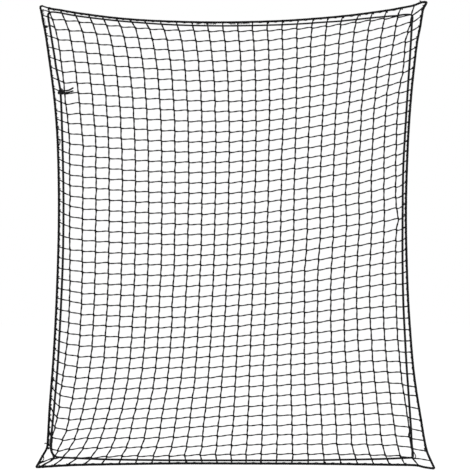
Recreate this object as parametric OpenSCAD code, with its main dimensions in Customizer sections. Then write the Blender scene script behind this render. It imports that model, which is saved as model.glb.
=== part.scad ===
// Pitching target net: square-mesh netting lashed to a border rope, hung by
// its four corners, with a draw cord laid round it just inside the border.
// Millimetres. The net hangs in the plane y = 0 and is seen from -Y; +Z is up.
// The origin is the middle of the four hooks that hold the corners.

/* [Net] */
// Width between the two bottom corners
net_width = 1248; // [950:1:1600]
// Width between the two top corners
top_width = 1211; // [950:1:1600]
// Height between the two right-hand corners
net_height = 1460; // [1100:1:1900]
// How far the top left corner hangs below the top right one
left_drop = 14; // [0:1:40]
// How far the bottom left corner lies above the bottom right one
left_rise = 4; // [0:1:40]
// How far the top corners are shifted to the left of the bottom ones
top_shift = 6; // [0:1:30]

/* [Netting] */
// Meshes across; each one here stands for two or three of the real, finer mesh
mesh_columns = 12; // [6:1:12]
// Meshes from top to bottom
mesh_rows = 20; // [8:1:20]
// Width of an upright twine
upright_w = 4.6; // [1.5:0.1:5]
// Width of a level twine
level_w = 3.9; // [1.5:0.1:5]
// Width of the selvedge twine along the edge of the netting
selvedge_w = 1.8; // [1.2:0.1:4]
// Thickness of the netting
netting_t = 3.2; // [1.5:0.1:4]

/* [Border rope] */
// Diameter of the border rope
rope_d = 6; // [3:0.1:8]
// Length over which the rope turns at a corner, on each side of it
corner_bend = 5; // [4:0.5:12]

/* [Twine windings] */
// Diameter of the lashing twine
lash_d = 1.5; // [1:0.1:2.2]
// Turns in each corner hitch
hitch_turns = 2; // [2:1:3]

/* [Draw cord] */
// Diameter of the draw cord
cord_d = 5.8; // [3:0.1:6]
// Diameter of the cord where it is drawn tight in the knot, and of its free ends
knot_cord_d = 4; // [2.5:0.1:4.2]
// Loop size of the knot
knot_size = 2.4; // [2.3:0.1:4]

/* [Clearances] */
// Clearance between pieces that lie against each other
gap = 0.3; // [0.2:0.05:0.6]

/* [Hidden] */

TWINE = "dimgray";
ROPE = "darkslategray";
CORD = "slategray";

// The sides of the net, in the order of their lists below
TOP = 0;
RIGHT = 1;
BOTTOM = 2;
LEFT = 3;

// Corners of the border rope's centre line, as [x, z]
top_left = [-top_width / 2 - top_shift, net_height / 2 - left_drop];
top_right = [top_width / 2 - top_shift, net_height / 2];
bottom_right = [net_width / 2, -net_height / 2];
bottom_left = [-net_width / 2, -net_height / 2 + left_rise];
side_start = [top_left, top_right, bottom_left, top_left];
side_end = [top_right, bottom_right, bottom_right, bottom_left];
inward = [[0, -1], [-1, 0], [0, 1], [1, 0]];

// How far each side sags inwards, in mm, at shares of its length
sags = [
    [[0, 0], [0.006, -2], [0.012, 0.5], [0.025, 5.5], [0.05, 10.5], [0.1, 21.5], [0.2, 38.3],
        [0.3, 48.3], [0.45, 55], [0.6, 53.8], [0.7, 48], [0.8, 38.3], [0.9, 23.5], [0.935, 16.3],
        [0.968, 8.8], [0.98, 3.2], [0.99, -0.3], [1, 0]],
    [[0, 0], [0.014, 11.2], [0.034, 17.2], [0.055, 22.6], [0.077, 30.1], [0.1, 35.6],
        [0.12, 39.6], [0.2, 53.8], [0.3, 66.3], [0.45, 76.4], [0.6, 75.6], [0.7, 69.8],
        [0.8, 59.3], [0.9, 39.1], [0.96, 24.4], [0.985, 10.2], [1, 0]],
    [[0, 0], [0.05, 4.3], [0.1, 7.6], [0.2, 10.5], [0.35, 13.5], [0.5, 13.9], [0.7, 13.7],
        [0.9, 11.3], [0.955, 9.8], [0.975, 4.2], [1, 0]],
    [[0, 0], [0.012, 5], [0.03, 9.5], [0.05, 15.9], [0.1, 27.6], [0.2, 47.6], [0.3, 59.4],
        [0.45, 64.8], [0.6, 61.6], [0.75, 52.8], [0.87, 41.1], [0.9, 39.1], [0.935, 36.6],
        [0.957, 34.1], [0.975, 20.6], [0.9885, 10], [1, 0]]];

// Where the netting's twines are tied along each side: share of the meshes
// counted from the side's start, then share of its length
ties = [
    [[0, 0], [0.074, 0.053], [0.148, 0.126], [0.296, 0.27], [0.481, 0.472], [0.667, 0.668],
        [0.815, 0.825], [0.926, 0.933], [1, 1]],
    [[0, 0], [0.045, 0.029], [0.091, 0.075], [0.205, 0.187], [0.364, 0.339], [0.5, 0.482],
        [0.636, 0.627], [0.795, 0.797], [0.909, 0.92], [0.955, 0.959], [1, 1]],
    [[0, 0], [0.093, 0.027], [0.185, 0.119], [0.333, 0.29], [0.519, 0.491], [0.667, 0.642],
        [0.815, 0.806], [0.926, 0.926], [1, 1]],
    [[0, 0], [0.045, 0.043], [0.091, 0.087], [0.205, 0.202], [0.341, 0.33], [0.5, 0.494],
        [0.636, 0.632], [0.773, 0.765], [0.886, 0.867], [0.955, 0.957], [1, 1]]];

// Shares of each side's length between which its own rope runs; past them
// the rope is the loop of the corner
rope_from = [0.025, 0.014, 0.018, 0.012];
rope_to = [0.967, 0.964, 0.957, 0.975];

// Where the netting's own corners lie, from the corners of the rope
netting_corners = [
    top_left + [25, -18], top_right + [-38, -38],
    bottom_right + [-52, 33], bottom_left + [44, 24]];

// The netting's inner meshes hang from four sagging lines, one mesh inside
// the border: their corners, sags, places of deepest sag and fullness
line_corners = [
    top_left + [26, -24], top_right + [-39, -8],
    bottom_right + [-7, 44], bottom_left + [33, 8]];
line_sags = [61, 87, 4, 68];
line_peaks = [0.5, 0.65, 0.5, 0.5];
line_powers = [2, 2.3, 2, 3.1];
// Sideways bow of the middle, and the crowding of the bottom line to the left
middle_bow = 23;
crowding = -0.144;
// How far the meshes are gathered at each corner, and how many real meshes
// across and down it takes for that to fade
gathers = [[17, -15], [-7, -33], [-58, -15], [-32, 33]];
fades = [[3, 6], [8, 5], [4, 6], [10, 3]];
// Real meshes across and down, which the fades are counted in
real_columns = 27;
real_rows = 44;

// Corners of the draw cord from the corners of the rope, and its sags
cord_corners = [
    top_left + [29, -18], top_right + [-45, -40],
    bottom_right + [-68, 35], bottom_left + [56, 33]];
cord_start = [cord_corners[0], cord_corners[1], cord_corners[3], cord_corners[0]];
cord_end = [cord_corners[1], cord_corners[2], cord_corners[2], cord_corners[3]];
cord_sags = [
    [[0, 0], [0.012, -0.6], [0.03, 1.6], [0.045, 5], [0.08, 11.5], [0.12, 17.2], [0.2, 27],
        [0.32, 35.6], [0.4, 38.4], [0.5, 38.6], [0.6, 35.8], [0.69, 31], [0.75, 25.7],
        [0.8, 21.6], [0.88, 11.4], [0.94, 4.6], [0.955, 3.3], [0.97, 0.6], [0.985, -1], [1, 0]],
    [[0, 0], [0.012, 0.8], [0.02, 2.5], [0.03, 3], [0.09, 8], [0.16, 14.5], [0.28, 25],
        [0.35, 29.9], [0.45, 31.9], [0.55, 32.4], [0.65, 30], [0.75, 23.3], [0.8, 19.4],
        [0.87, 12.5], [0.94, 6], [0.97, 4], [0.985, 1.3], [1, 0]],
    [[0, 0], [0.03, -1.8], [0.1, -5.2], [0.15, -7.3], [0.3, -9.4], [0.45, -9.6], [0.6, -9.5],
        [0.7, -8.9], [0.8, -7], [0.9, -4.7], [0.97, -1.6], [1, 0]],
    [[0, 0], [0.006, -3], [0.02, -1.2], [0.03, 1.3], [0.06, 7.3], [0.1, 15.8], [0.125, 20.5],
        [0.15, 26.8], [0.18, 33.2], [0.25, 36.5], [0.37, 39], [0.45, 38.7], [0.55, 35.4],
        [0.65, 28.6], [0.75, 19.9], [0.8, 14.8], [0.9, 1.4], [0.94, -5.2], [0.97, -8.9],
        [0.985, -8.3], [1, 0]]];
// Share of the left side at which the cord is knotted
knot_at = 0.179;
// Shares near the ends of a side between which the cord rounds its corners
cord_turn = 0.007;

// Depth of the draw cord's centre line: it lies on the front of the netting
cord_y = -(netting_t / 2 + gap + cord_d / 2);
knot_y = -(netting_t / 2 + gap + knot_size + knot_cord_d / 2);

// Sides of the tubes and the rings that each one has
rope_sides = 8;
side_rings = 46;
// Length of rope at each end that is square to its own run
end_square = 1.5;
corner_rings = 12;
cord_rings = 20;
wind_sides = 4;
rings_per_turn = 6;
knot_rings = 36;

// ---------- curves ----------

function unit(v) = v / norm(v);

// Smooth curve through a list of [place, value] pairs: a cubic in each span,
// whose slope at a pair is that of the chord between its neighbours
function slope(p, k) = let (a = max(k - 1, 0), b = min(k + 1, len(p) - 1))
    (p[b][1] - p[a][1]) / (p[b][0] - p[a][0]);
function span_of(p, x, k = 0) =
    k < len(p) - 2 && x > p[k + 1][0] ? span_of(p, x, k + 1) : k;
function curve(p, x) = let (
        k = span_of(p, x),
        h = p[k + 1][0] - p[k][0],
        s = (x - p[k][0]) / h,
        a = 2 * s * s * s - 3 * s * s + 1,
        b = s * s * s - 2 * s * s + s,
        c = s * s * s - s * s)
    a * p[k][1] + (1 - a) * p[k + 1][1] + h * (b * slope(p, k) + c * slope(p, k + 1));

// Point on the border rope's centre line, and the inward normal there
function border(side, t) = side_start[side] + t * (side_end[side] - side_start[side])
    + curve(sags[side], t) * inward[side];
function border_along(side, t) =
    unit(border(side, min(t + 0.004, 1)) - border(side, max(t - 0.004, 0)));
function border_normal(side, t) = let (
        a = border_along(side, t),
        n = [-a[1], a[0]])
    n * inward[side] > 0 ? n : -n;
function border_in(side, t, d) = border(side, t) + d * border_normal(side, t);

// Point on the draw cord's centre line
function cord(side, t) = cord_start[side] + t * (cord_end[side] - cord_start[side])
    + curve(cord_sags[side], t) * inward[side];

// A sag that is 1 at its peak and 0 at both ends
function bow(t, peak, power) = let (u = t < peak ? (peak - t) / peak : (t - peak) / (1 - peak))
    1 - pow(u, power);

// Crossing of upright twine i with level twine j, counted in real meshes
function gathered(corner, across, down) =
    exp(-across / fades[corner][0] - down / fades[corner][1]) * gathers[corner];
function crossing(i, j) = let (
        a = (i - 1) / (real_columns - 2),
        v = (j - 1) / (real_rows - 2),
        u = a + a * (1 - a) * crowding * v,
        c = line_corners,
        x = (1 - u) * line_sags[LEFT] * bow(v, line_peaks[LEFT], line_powers[LEFT])
            - u * line_sags[RIGHT] * bow(v, line_peaks[RIGHT], line_powers[RIGHT])
            + middle_bow * 16 * u * (1 - u) * v * (1 - v),
        z = v * line_sags[BOTTOM] * bow(u, line_peaks[BOTTOM], line_powers[BOTTOM])
            - (1 - v) * line_sags[TOP] * bow(u, line_peaks[TOP], line_powers[TOP]))
    (1 - u) * (1 - v) * c[0] + u * (1 - v) * c[1] + u * v * c[2] + (1 - u) * v * c[3] + [x, z]
    + gathered(0, i - 1, j - 1) + gathered(1, real_columns - 1 - i, j - 1)
    + gathered(2, real_columns - 1 - i, real_rows - 1 - j) + gathered(3, i - 1, real_rows - 1 - j);

// ---------- tubes ----------

// Closed tube round a list of points; aside is a direction that the tube
// never runs in
function triangles_between(k, n) = [for (m = [0:n - 1]) let (
        a = k * n + m,
        b = k * n + (m + 1) % n)
    each [[a, b, a + n], [b, b + n, a + n]]];
function fan(first, n, turned) = [for (m = [1:n - 2])
    turned ? [first, first + m, first + m + 1] : [first, first + m + 1, first + m]];
function along(p, k) = unit(p[min(k + 1, len(p) - 1)] - p[max(k - 1, 0)]);
module tube(p, r, sides, aside = [0, 1, 0]) {
    last = len(p) - 1;
    points = [for (k = [0:last]) let (
            t = along(p, k),
            n = unit(cross(t, aside)),
            b = cross(n, t))
        for (m = [0:sides - 1]) p[k] + r * (cos(360 * m / sides) * n + sin(360 * m / sides) * b)];
    polyhedron(points, [
        each fan(0, sides, false),
        for (k = [0:last - 1]) each triangles_between(k, sides),
        each fan(last * sides, sides, true)], convexity = 10);
}
function at_depth(p, y) = [p[0], y, p[1]];

// ---------- netting ----------

// The netting is a flat lattice. Its corner points form a grid: two columns
// of points for each upright twine and two rows for each level one.
rope_r = rope_d / 2;
grid_columns = 2 * mesh_columns + 2;
grid_rows = 2 * mesh_rows + 2;
function meshes_of(side) = side == TOP || side == BOTTOM ? mesh_columns : mesh_rows;

// Share of a side's length at which twine k of n is tied, moved by half a
// twine's width to one edge of it
function tie(side, k, n, half) =
    curve(ties[side], k / n) + half / norm(side_end[side] - side_start[side]);
// The selvedge is straight from tie to tie and the rope sags between them:
// how far it does at most, and so how far from the rope the selvedge lies
function sag_between(side, k, share) = let (
        n = meshes_of(side),
        a = border(side, tie(side, k, n, 0)),
        b = border(side, tie(side, k + 1, n, 0)),
        c = unit(b - a),
        d = border(side, tie(side, k + share, n, 0)) - a)
    (d - (d * c) * c) * inward[side];
selvedge_out = [for (side = [TOP:LEFT]) rope_r + gap
    + max([for (k = [1:meshes_of(side) - 2]) for (w = [0:0.25:0.75]) sag_between(side, k, w)])];
selvedge_in = [for (side = [TOP:LEFT]) selvedge_out[side] + selvedge_w];
function tie_point(side, k, n, half, outer) =
    border_in(side, tie(side, k, n, half), outer ? selvedge_out[side] : selvedge_in[side]);
function corner_point(corner, outer_x, outer_z) = let (
        out = [[-1, 1], [1, 1], [1, -1], [-1, -1]][corner])
    netting_corners[corner]
    + [outer_x ? out[0] * selvedge_w : 0, outer_z ? out[1] * selvedge_w : 0];
function grid_point(m, n) = let (
        i = floor(m / 2),
        j = floor(n / 2),
        half_x = (m % 2 - 0.5) * upright_w,
        half_z = (n % 2 - 0.5) * level_w,
        at_left = m < 2,
        at_right = m > grid_columns - 3,
        at_top = n < 2,
        at_bottom = n > grid_rows - 3)
    at_top && at_left ? corner_point(0, m == 0, n == 0)
    : at_top && at_right ? corner_point(1, m == grid_columns - 1, n == 0)
    : at_bottom && at_right ? corner_point(2, m == grid_columns - 1, n == grid_rows - 1)
    : at_bottom && at_left ? corner_point(3, m == 0, n == grid_rows - 1)
    : at_top ? tie_point(TOP, i, mesh_columns, half_x, n == 0)
    : at_bottom ? tie_point(BOTTOM, i, mesh_columns, half_x, n == grid_rows - 1)
    : at_left ? tie_point(LEFT, j, mesh_rows, half_z, m == 0)
    : at_right ? tie_point(RIGHT, j, mesh_rows, half_z, m == grid_columns - 1)
    : crossing(i * real_columns / mesh_columns, j * real_rows / mesh_rows) + [half_x, -half_z];

module lattice() {
    face = [for (n = [0:grid_rows - 1]) for (m = [0:grid_columns - 1]) grid_point(m, n)];
    back = len(face);
    columns = grid_columns - 2;
    rows = grid_rows - 2;
    points = [for (p = face) at_depth(p, -netting_t / 2), for (p = face) at_depth(p, netting_t / 2)];
    function at(m, n) = n * grid_columns + m;
    function wall(a, b) = [[a, b, b + back], [a, b + back, a + back]];
    solid = [for (n = [0:rows]) for (m = [0:columns]) if (m % 2 == 0 || n % 2 == 0) [m, n]];
    meshes = [for (n = [1:2:rows]) for (m = [1:2:columns]) [m, n]];
    polyhedron(points, [
        for (c = solid) let (a = at(c[0], c[1]), b = a + 1, d = a + grid_columns, e = d + 1)
            each [[a, b, e], [a, e, d], [a + back, e + back, b + back], [a + back, d + back, e + back]],
        for (c = meshes) let (a = at(c[0], c[1]), b = a + 1, d = a + grid_columns, e = d + 1)
            each [each wall(a, b), each wall(b, e), each wall(e, d), each wall(d, a)],
        for (m = [0:columns]) each [each wall(at(m + 1, 0), at(m, 0)),
            each wall(at(m, grid_rows - 1), at(m + 1, grid_rows - 1))],
        for (n = [0:rows]) each [each wall(at(0, n), at(0, n + 1)),
            each wall(at(grid_columns - 1, n + 1), at(grid_columns - 1, n))]],
        convexity = 20);
}

module netting() {
    color(TWINE) lattice();
}

// ---------- border rope ----------

// The rope between two shares of a side, square to its own run at both ends
function border_stretch(side, from, to, rings) = let (
        square = end_square / norm(side_end[side] - side_start[side]),
        a = from + square,
        b = to - square)
    [for (t = concat([from], [for (k = [0:rings - 1]) a + (b - a) * k / (rings - 1)], [to]))
        at_depth(border(side, t), 0)];

module border_rope(side) {
    trim = gap / norm(side_end[side] - side_start[side]);
    color(ROPE) tube(border_stretch(side, rope_from[side] + trim, rope_to[side] - trim, side_rings),
        rope_r, rope_sides);
}

// Loop of a corner: the upright side's rope up to the corner, a short turn,
// and the level side's rope away from it
function turn(a, tip, b) = [for (s = [0.25:0.25:0.75])
    (1 - s) * (1 - s) * a + 2 * s * (1 - s) * tip + s * s * b];
function corner_route(level_side, upright_side, tip, level_end, upright_end) = let (
        level_t = level_end ? rope_to[level_side] : rope_from[level_side],
        upright_t = upright_end ? rope_to[upright_side] : rope_from[upright_side],
        level_l = norm(side_end[level_side] - side_start[level_side]),
        upright_l = norm(side_end[upright_side] - side_start[upright_side]),
        level_tip = level_end ? 1 - corner_bend / level_l : corner_bend / level_l,
        upright_tip = upright_end ? 1 - corner_bend / upright_l : corner_bend / upright_l,
        n = corner_rings / 2,
        a = [for (k = [0:n]) border(upright_side, upright_t + (upright_tip - upright_t) * k / n)],
        b = [for (k = [0:n]) border(level_side, level_tip + (level_t - level_tip) * k / n)],
        first = border(upright_side, upright_t + (upright_tip - upright_t) * 0.05),
        last = border(level_side, level_t + (level_tip - level_t) * 0.05))
    [for (p = concat([a[0], first], [for (k = [1:n]) a[k]], turn(a[n], tip, b[0]),
        [for (k = [0:n - 1]) b[k]], [last, b[n]])) at_depth(p, 0)];

corner_routes = [
    corner_route(TOP, LEFT, top_left, false, false),
    corner_route(TOP, RIGHT, top_right, true, false),
    corner_route(BOTTOM, RIGHT, bottom_right, true, true),
    corner_route(BOTTOM, LEFT, bottom_left, false, true)];
module corner_loop(corner) {
    color(ROPE) tube(corner_routes[corner], rope_r, rope_sides);
}

// ---------- twine windings ----------

lash_r = lash_d / 2;
// A ring at every sixth of a turn makes a chord that lies nearer the middle
chord_room = 1 / cos(180 / rings_per_turn);

// Lashing of one side: one turn in each mesh, round rope and selvedge, in
// front of the ties and through the middle of the meshes
lash_y = (rope_r + gap + lash_r) * chord_room;
// Room for the selvedge's square edge inside the winding of each side
lash_room = gap * [3.2, 5, 4, 5.5];
function lashing_route(side, meshes) = let (
        steps = (meshes - 2) * rings_per_turn,
        pair_middle = (selvedge_in[side] - rope_r) / 2,
        pair_half = (selvedge_in[side] + rope_r) / 2,
        lash_x = (pair_half + gap + lash_r) * chord_room + lash_room[side])
    [for (k = [0:steps]) let (
            u = 1 + k / rings_per_turn,
            t = tie(side, u, meshes, 0),
            n = border_normal(side, t),
            a = 360 * u + 180,
            p = border(side, t) + (pair_middle + lash_x * cos(a)) * n)
        at_depth(p, -lash_y * sin(a))];
// One tube diameter of straight twine at each end of a winding
function with_ends(p, d) = let (n = len(p) - 1)
    concat([p[0] - d * unit(p[1] - p[0])], p, [p[n] + d * unit(p[n] - p[n - 1])]);
lashing_routes = [for (side = [TOP:LEFT]) with_ends(lashing_route(side, meshes_of(side)), lash_d)];
module edge_lashing(side) {
    color(TWINE) tube(lashing_routes[side], lash_r, wind_sides);
}

// Hitch at each end of a corner loop: turns of twine round the bare rope,
// over the place where the loop begins
hitch_pitch = lash_d + 0.6;
hitch_radius = (rope_r + gap + lash_r) * chord_room;
hitch_steps = hitch_turns * rings_per_turn - 1;
function hitch_at(side, at_end) = at_end ? rope_to[side] : rope_from[side];
function hitch_axis(side, at_end) = at_depth(border_along(side, hitch_at(side, at_end)), 0);
function hitch_route(side, at_end) = let (
        t = hitch_at(side, at_end),
        n = at_depth(border_normal(side, t), 0))
    with_ends([for (k = [0:hitch_steps]) let (a = 360 * k / rings_per_turn)
        at_depth(border(side, t), 0)
        + (k / hitch_steps - 0.5) * hitch_turns * hitch_pitch * hitch_axis(side, at_end)
        + hitch_radius * (cos(a) * n - [0, sin(a), 0])], lash_d);
hitch_ends = [
    [[TOP, false], [LEFT, false]], [[TOP, true], [RIGHT, false]],
    [[BOTTOM, true], [RIGHT, true]], [[BOTTOM, false], [LEFT, true]]];
module corner_hitch(corner) {
    color(TWINE) for (h = hitch_ends[corner])
        tube(hitch_route(h[0], h[1]), lash_r, wind_sides, hitch_axis(h[0], h[1]));
}

// Least gap of a winding to itself, measured between rings half a turn or
// more apart
function self_gap(p, d) = min([for (a = [0:len(p) - 1]) for (b = [a + rings_per_turn / 2:1:len(p) - 1])
    norm(p[a] - p[b])]) - d;
for (side = [TOP:LEFT]) echo(lashing = side, gap_to_itself = self_gap(lashing_routes[side], lash_d));
for (corner = [0:3]) for (h = hitch_ends[corner])
    echo(hitch = corner, gap_to_itself = self_gap(hitch_route(h[0], h[1]), lash_d));

// ---------- draw cord ----------

function cord_stretch(side, from, to, rings) =
    [for (k = [0:rings - 1]) cord(side, from + (to - from) * k / (rings - 1))];
left_length = norm(cord_end[LEFT] - cord_start[LEFT]);
knot_reach_up = 3 * knot_size + knot_cord_d / 2 + gap;
knot_reach_down = 2.4 * knot_size + knot_cord_d / 2 + gap;
knot_centre = cord(LEFT, knot_at);
// From under the knot, round the net, to the top of the knot
cord_route = concat(
    cord_stretch(LEFT, knot_at + knot_reach_down / left_length, 1 - cord_turn, cord_rings),
    cord_stretch(BOTTOM, cord_turn, 1 - cord_turn, cord_rings),
    cord_stretch(RIGHT, 1 - cord_turn, cord_turn, cord_rings),
    cord_stretch(TOP, 1 - cord_turn, cord_turn, cord_rings),
    cord_stretch(LEFT, cord_turn, knot_at - knot_reach_up / left_length, 8));
module draw_cord() {
    color(CORD) tube([for (p = cord_route) at_depth(p, cord_y)], cord_d / 2, rope_sides);
}

// The knot: the three-lobed course of an overhand knot
function knot_point(a) = at_depth(knot_centre, knot_y)
    + knot_size * [sin(a) + 2 * sin(2 * a), -sin(3 * a), -(cos(a) - 2 * cos(2 * a))];
module draw_cord_knot() {
    step = 360 / knot_rings;
    r = knot_cord_d / 2;
    n = rope_sides;
    points = [for (k = [0:knot_rings - 1]) let (
            t = unit(knot_point((k + 1) * step) - knot_point((k - 1) * step)),
            out = unit(cross(t, [0, 1, 0.3])),
            b = cross(out, t))
        for (m = [0:n - 1]) knot_point(k * step) + r * (cos(360 * m / n) * out + sin(360 * m / n) * b)];
    all = knot_rings * n;
    color(CORD) polyhedron(points, [for (k = [0:knot_rings - 1]) for (f = triangles_between(k, n))
        [f[0] % all, f[1] % all, f[2] % all]], convexity = 10);
}

// The two free ends of the cord, from the knot's side to their bare tips:
// points from the edge of its right-hand lobe, as [x, y, z]
upper_tail = [[-1, 0, 3], [7, -1, 3.5], [14, -1, 5], [22, 0, 8.5], [30, 1, 13]];
lower_tail = [[1.2, 0, -3.5], [7, -1, -2.5], [14, -1, -1.5], [22, 0, 0.5], [30, 1, 3]];
knot_edge = at_depth(knot_centre, knot_y)
    + [3 * knot_size * cos(30) + knot_cord_d / 2 + gap, 0, 0];
module tail(offsets) {
    color(CORD) tube([for (p = offsets) knot_edge + p], knot_cord_d / 2, rope_sides);
}

netting();
border_rope(TOP);  // border_rope_top
border_rope(RIGHT);  // border_rope_right
border_rope(BOTTOM);  // border_rope_bottom
border_rope(LEFT);  // border_rope_left
corner_loop(0);  // corner_loop_top_left
corner_loop(1);  // corner_loop_top_right
corner_loop(2);  // corner_loop_bottom_right
corner_loop(3);  // corner_loop_bottom_left
corner_hitch(0);  // corner_hitch_top_left
corner_hitch(1);  // corner_hitch_top_right
corner_hitch(2);  // corner_hitch_bottom_right
corner_hitch(3);  // corner_hitch_bottom_left
edge_lashing(TOP);  // edge_lashing_top
edge_lashing(RIGHT);  // edge_lashing_right
edge_lashing(BOTTOM);  // edge_lashing_bottom
edge_lashing(LEFT);  // edge_lashing_left
draw_cord();
draw_cord_knot();
tail(upper_tail);  // draw_cord_tail_upper
tail(lower_tail);  // draw_cord_tail_lower
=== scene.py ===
"""Looks of a pitching target net: knotless square-mesh netting on a laid border rope, with its
lashing, corner hitches and a draw cord knotted at one side. Metres; the net hangs in the plane
y = 0 and is seen from -Y. Every surface is worked out as whole numpy arrays."""

import logging
import math
from dataclasses import dataclass, field
from enum import Enum

import bpy
import numpy as np
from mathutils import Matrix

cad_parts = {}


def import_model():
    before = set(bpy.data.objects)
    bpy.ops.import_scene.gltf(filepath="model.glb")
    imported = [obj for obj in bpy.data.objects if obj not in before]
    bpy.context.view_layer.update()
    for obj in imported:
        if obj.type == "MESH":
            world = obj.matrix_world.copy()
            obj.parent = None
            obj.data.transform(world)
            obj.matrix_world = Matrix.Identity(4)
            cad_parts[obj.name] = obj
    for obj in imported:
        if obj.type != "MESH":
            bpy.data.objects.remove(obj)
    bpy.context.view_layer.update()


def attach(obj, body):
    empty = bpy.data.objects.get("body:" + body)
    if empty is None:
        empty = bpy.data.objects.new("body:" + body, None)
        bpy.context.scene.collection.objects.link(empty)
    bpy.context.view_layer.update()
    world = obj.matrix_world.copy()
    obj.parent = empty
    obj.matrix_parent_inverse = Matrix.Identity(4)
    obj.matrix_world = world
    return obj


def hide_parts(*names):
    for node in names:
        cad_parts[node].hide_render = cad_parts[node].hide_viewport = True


LOG = logging.getLogger("pitching_net")

Pairs = tuple[tuple[float, float], ...]
Point2 = tuple[float, float]
Point3 = tuple[float, float, float]

Y_AXIS = np.array([0.0, 1.0, 0.0])
TURN = 2 * math.pi
WHITE = (1.0, 1.0, 1.0, 1.0)
# the shortest length that a vector is divided by
TINY = 1e-12
# points of a spline that are worked out for each one that is kept
SPLINE_STEPS = 12
# painted shade: the dark end of every finish's colour, which the stripes put in the grooves between
# the strands; the fibre and wear noise also reach it
PAINTED_GROOVE_SHADE: Point3 = (0.0010, 0.0010, 0.0012)


class Side(Enum):
    """The four sides of the net; the value is the inward direction as (x, z)."""

    TOP = (0.0, -1.0)
    RIGHT = (-1.0, 0.0)
    BOTTOM = (0.0, 1.0)
    LEFT = (1.0, 0.0)


class Corner(Enum):
    """The four corners; the value is the level side, whether the corner is that side's last end,
    the upright side, and whether it is that one's last end."""

    TOP_LEFT = (Side.TOP, False, Side.LEFT, False)
    TOP_RIGHT = (Side.TOP, True, Side.RIGHT, False)
    BOTTOM_RIGHT = (Side.BOTTOM, True, Side.RIGHT, True)
    BOTTOM_LEFT = (Side.BOTTOM, False, Side.LEFT, True)


# the corners at which each side's shares are 0 and 1
SIDE_ENDS: dict[Side, tuple[Corner, Corner]] = {
    Side.TOP: (Corner.TOP_LEFT, Corner.TOP_RIGHT),
    Side.RIGHT: (Corner.TOP_RIGHT, Corner.BOTTOM_RIGHT),
    Side.BOTTOM: (Corner.BOTTOM_LEFT, Corner.BOTTOM_RIGHT),
    Side.LEFT: (Corner.TOP_LEFT, Corner.BOTTOM_LEFT),
}
LEVEL_SIDES = (Side.TOP, Side.BOTTOM)


# ---------------------------------------------------------------- curves


def smooth(pairs: Pairs, x: np.ndarray) -> np.ndarray:
    """Smooth curve through (place, value) pairs: a cubic in each span, whose slope at a pair is
    that of the chord between its neighbours.

    Args:
        pairs: the pairs, in rising order of place.
        x: places to read it at.

    Returns:
        The values, in x's shape.
    """
    p = np.asarray(pairs, float)
    x = np.asarray(x, float)
    before = np.maximum(np.arange(len(p)) - 1, 0)
    after = np.minimum(np.arange(len(p)) + 1, len(p) - 1)
    slope = (p[after, 1] - p[before, 1]) / (p[after, 0] - p[before, 0])
    k = np.clip(np.searchsorted(p[:, 0], x, side="left") - 1, 0, len(p) - 2)
    h = p[k + 1, 0] - p[k, 0]
    s = (x - p[k, 0]) / h
    a = 2 * s**3 - 3 * s**2 + 1
    b = s**3 - 2 * s**2 + s
    c = s**3 - s**2
    return a * p[k, 1] + (1 - a) * p[k + 1, 1] + h * (b * slope[k] + c * slope[k + 1])


def ease(x: np.ndarray) -> np.ndarray:
    """Rise from 0 to 1 as x does, level at both ends: 3x^2 - 2x^3, held outside."""
    x = np.clip(x, 0.0, 1.0)
    return x * x * (3 - 2 * x)


def unit(v: np.ndarray) -> np.ndarray:
    """Vectors along the last axis, scaled to length 1."""
    return v / np.maximum(np.linalg.norm(v, axis=-1, keepdims=True), TINY)


def upright(p: np.ndarray, y: np.ndarray | float = 0.0) -> np.ndarray:
    """Points (x, z) of the net's plane as (x, y, z)."""
    y = np.broadcast_to(np.asarray(y, float), p.shape[:-1])
    return np.stack([p[..., 0], y, p[..., 1]], -1)


def lengths(p: np.ndarray) -> np.ndarray:
    """Length from the start to each point, along one polyline or many, as (..., point, xyz)."""
    step = np.linalg.norm(np.diff(p, axis=-2), axis=-1)
    return np.concatenate([np.zeros((*step.shape[:-1], 1)), np.cumsum(step, axis=-1)], axis=-1)


def even(p: np.ndarray, count: int) -> np.ndarray:
    """Points at even lengths along a fine polyline.

    Args:
        p: its points, one per row.
        count: how many points to return.

    Returns:
        The points, one per row.
    """
    s = lengths(p)
    at = np.linspace(0, s[-1], count)
    return np.stack([np.interp(at, s, p[:, c]) for c in range(p.shape[1])], -1)


def spline(points: np.ndarray, count: int) -> np.ndarray:
    """Even points along a smooth curve through a few given ones, each coordinate a cubic in the
    length along them.

    Args:
        points: the given points, one per row.
        count: how many points to return.

    Returns:
        The points, one per row.
    """
    p = np.asarray(points, float)
    s = lengths(p)
    fine = np.linspace(0, s[-1], SPLINE_STEPS * count)
    q = np.stack([smooth(tuple(zip(s, p[:, c])), fine) for c in range(p.shape[1])], -1)
    return even(q, count)


def bend(a: np.ndarray, tip: np.ndarray, b: np.ndarray, count: int) -> np.ndarray:
    """Points between a and b on the curve whose tangents there meet at the tip:
    (1-s)^2 a + 2s(1-s) tip + s^2 b.

    Args:
        a: where it starts.
        tip: where the tangents meet.
        b: where it stops.
        count: its points with both ends, which are left out.

    Returns:
        The points, one per row.
    """
    s = np.linspace(0, 1, count)[1:-1, None]
    return (1 - s) ** 2 * a + 2 * s * (1 - s) * tip + s**2 * b


def hanging(side: Side, a: np.ndarray, b: np.ndarray, sags: Pairs, t: np.ndarray) -> np.ndarray:
    """Points of a line that sags inwards between its two ends: a + t (b - a) + sag(t) inwards.

    Args:
        side: the side of the net, which gives the inward direction.
        a: the first end, as (x, z).
        b: the last end, as (x, z).
        sags: (share of the length, how far it sags inwards).
        t: shares of the length.

    Returns:
        Points (x, z), in t's shape.
    """
    t = np.asarray(t, float)[..., None]
    return a + t * (b - a) + smooth(sags, t) * np.array(side.value)


# ---------------------------------------------------------------- swept surfaces


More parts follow.
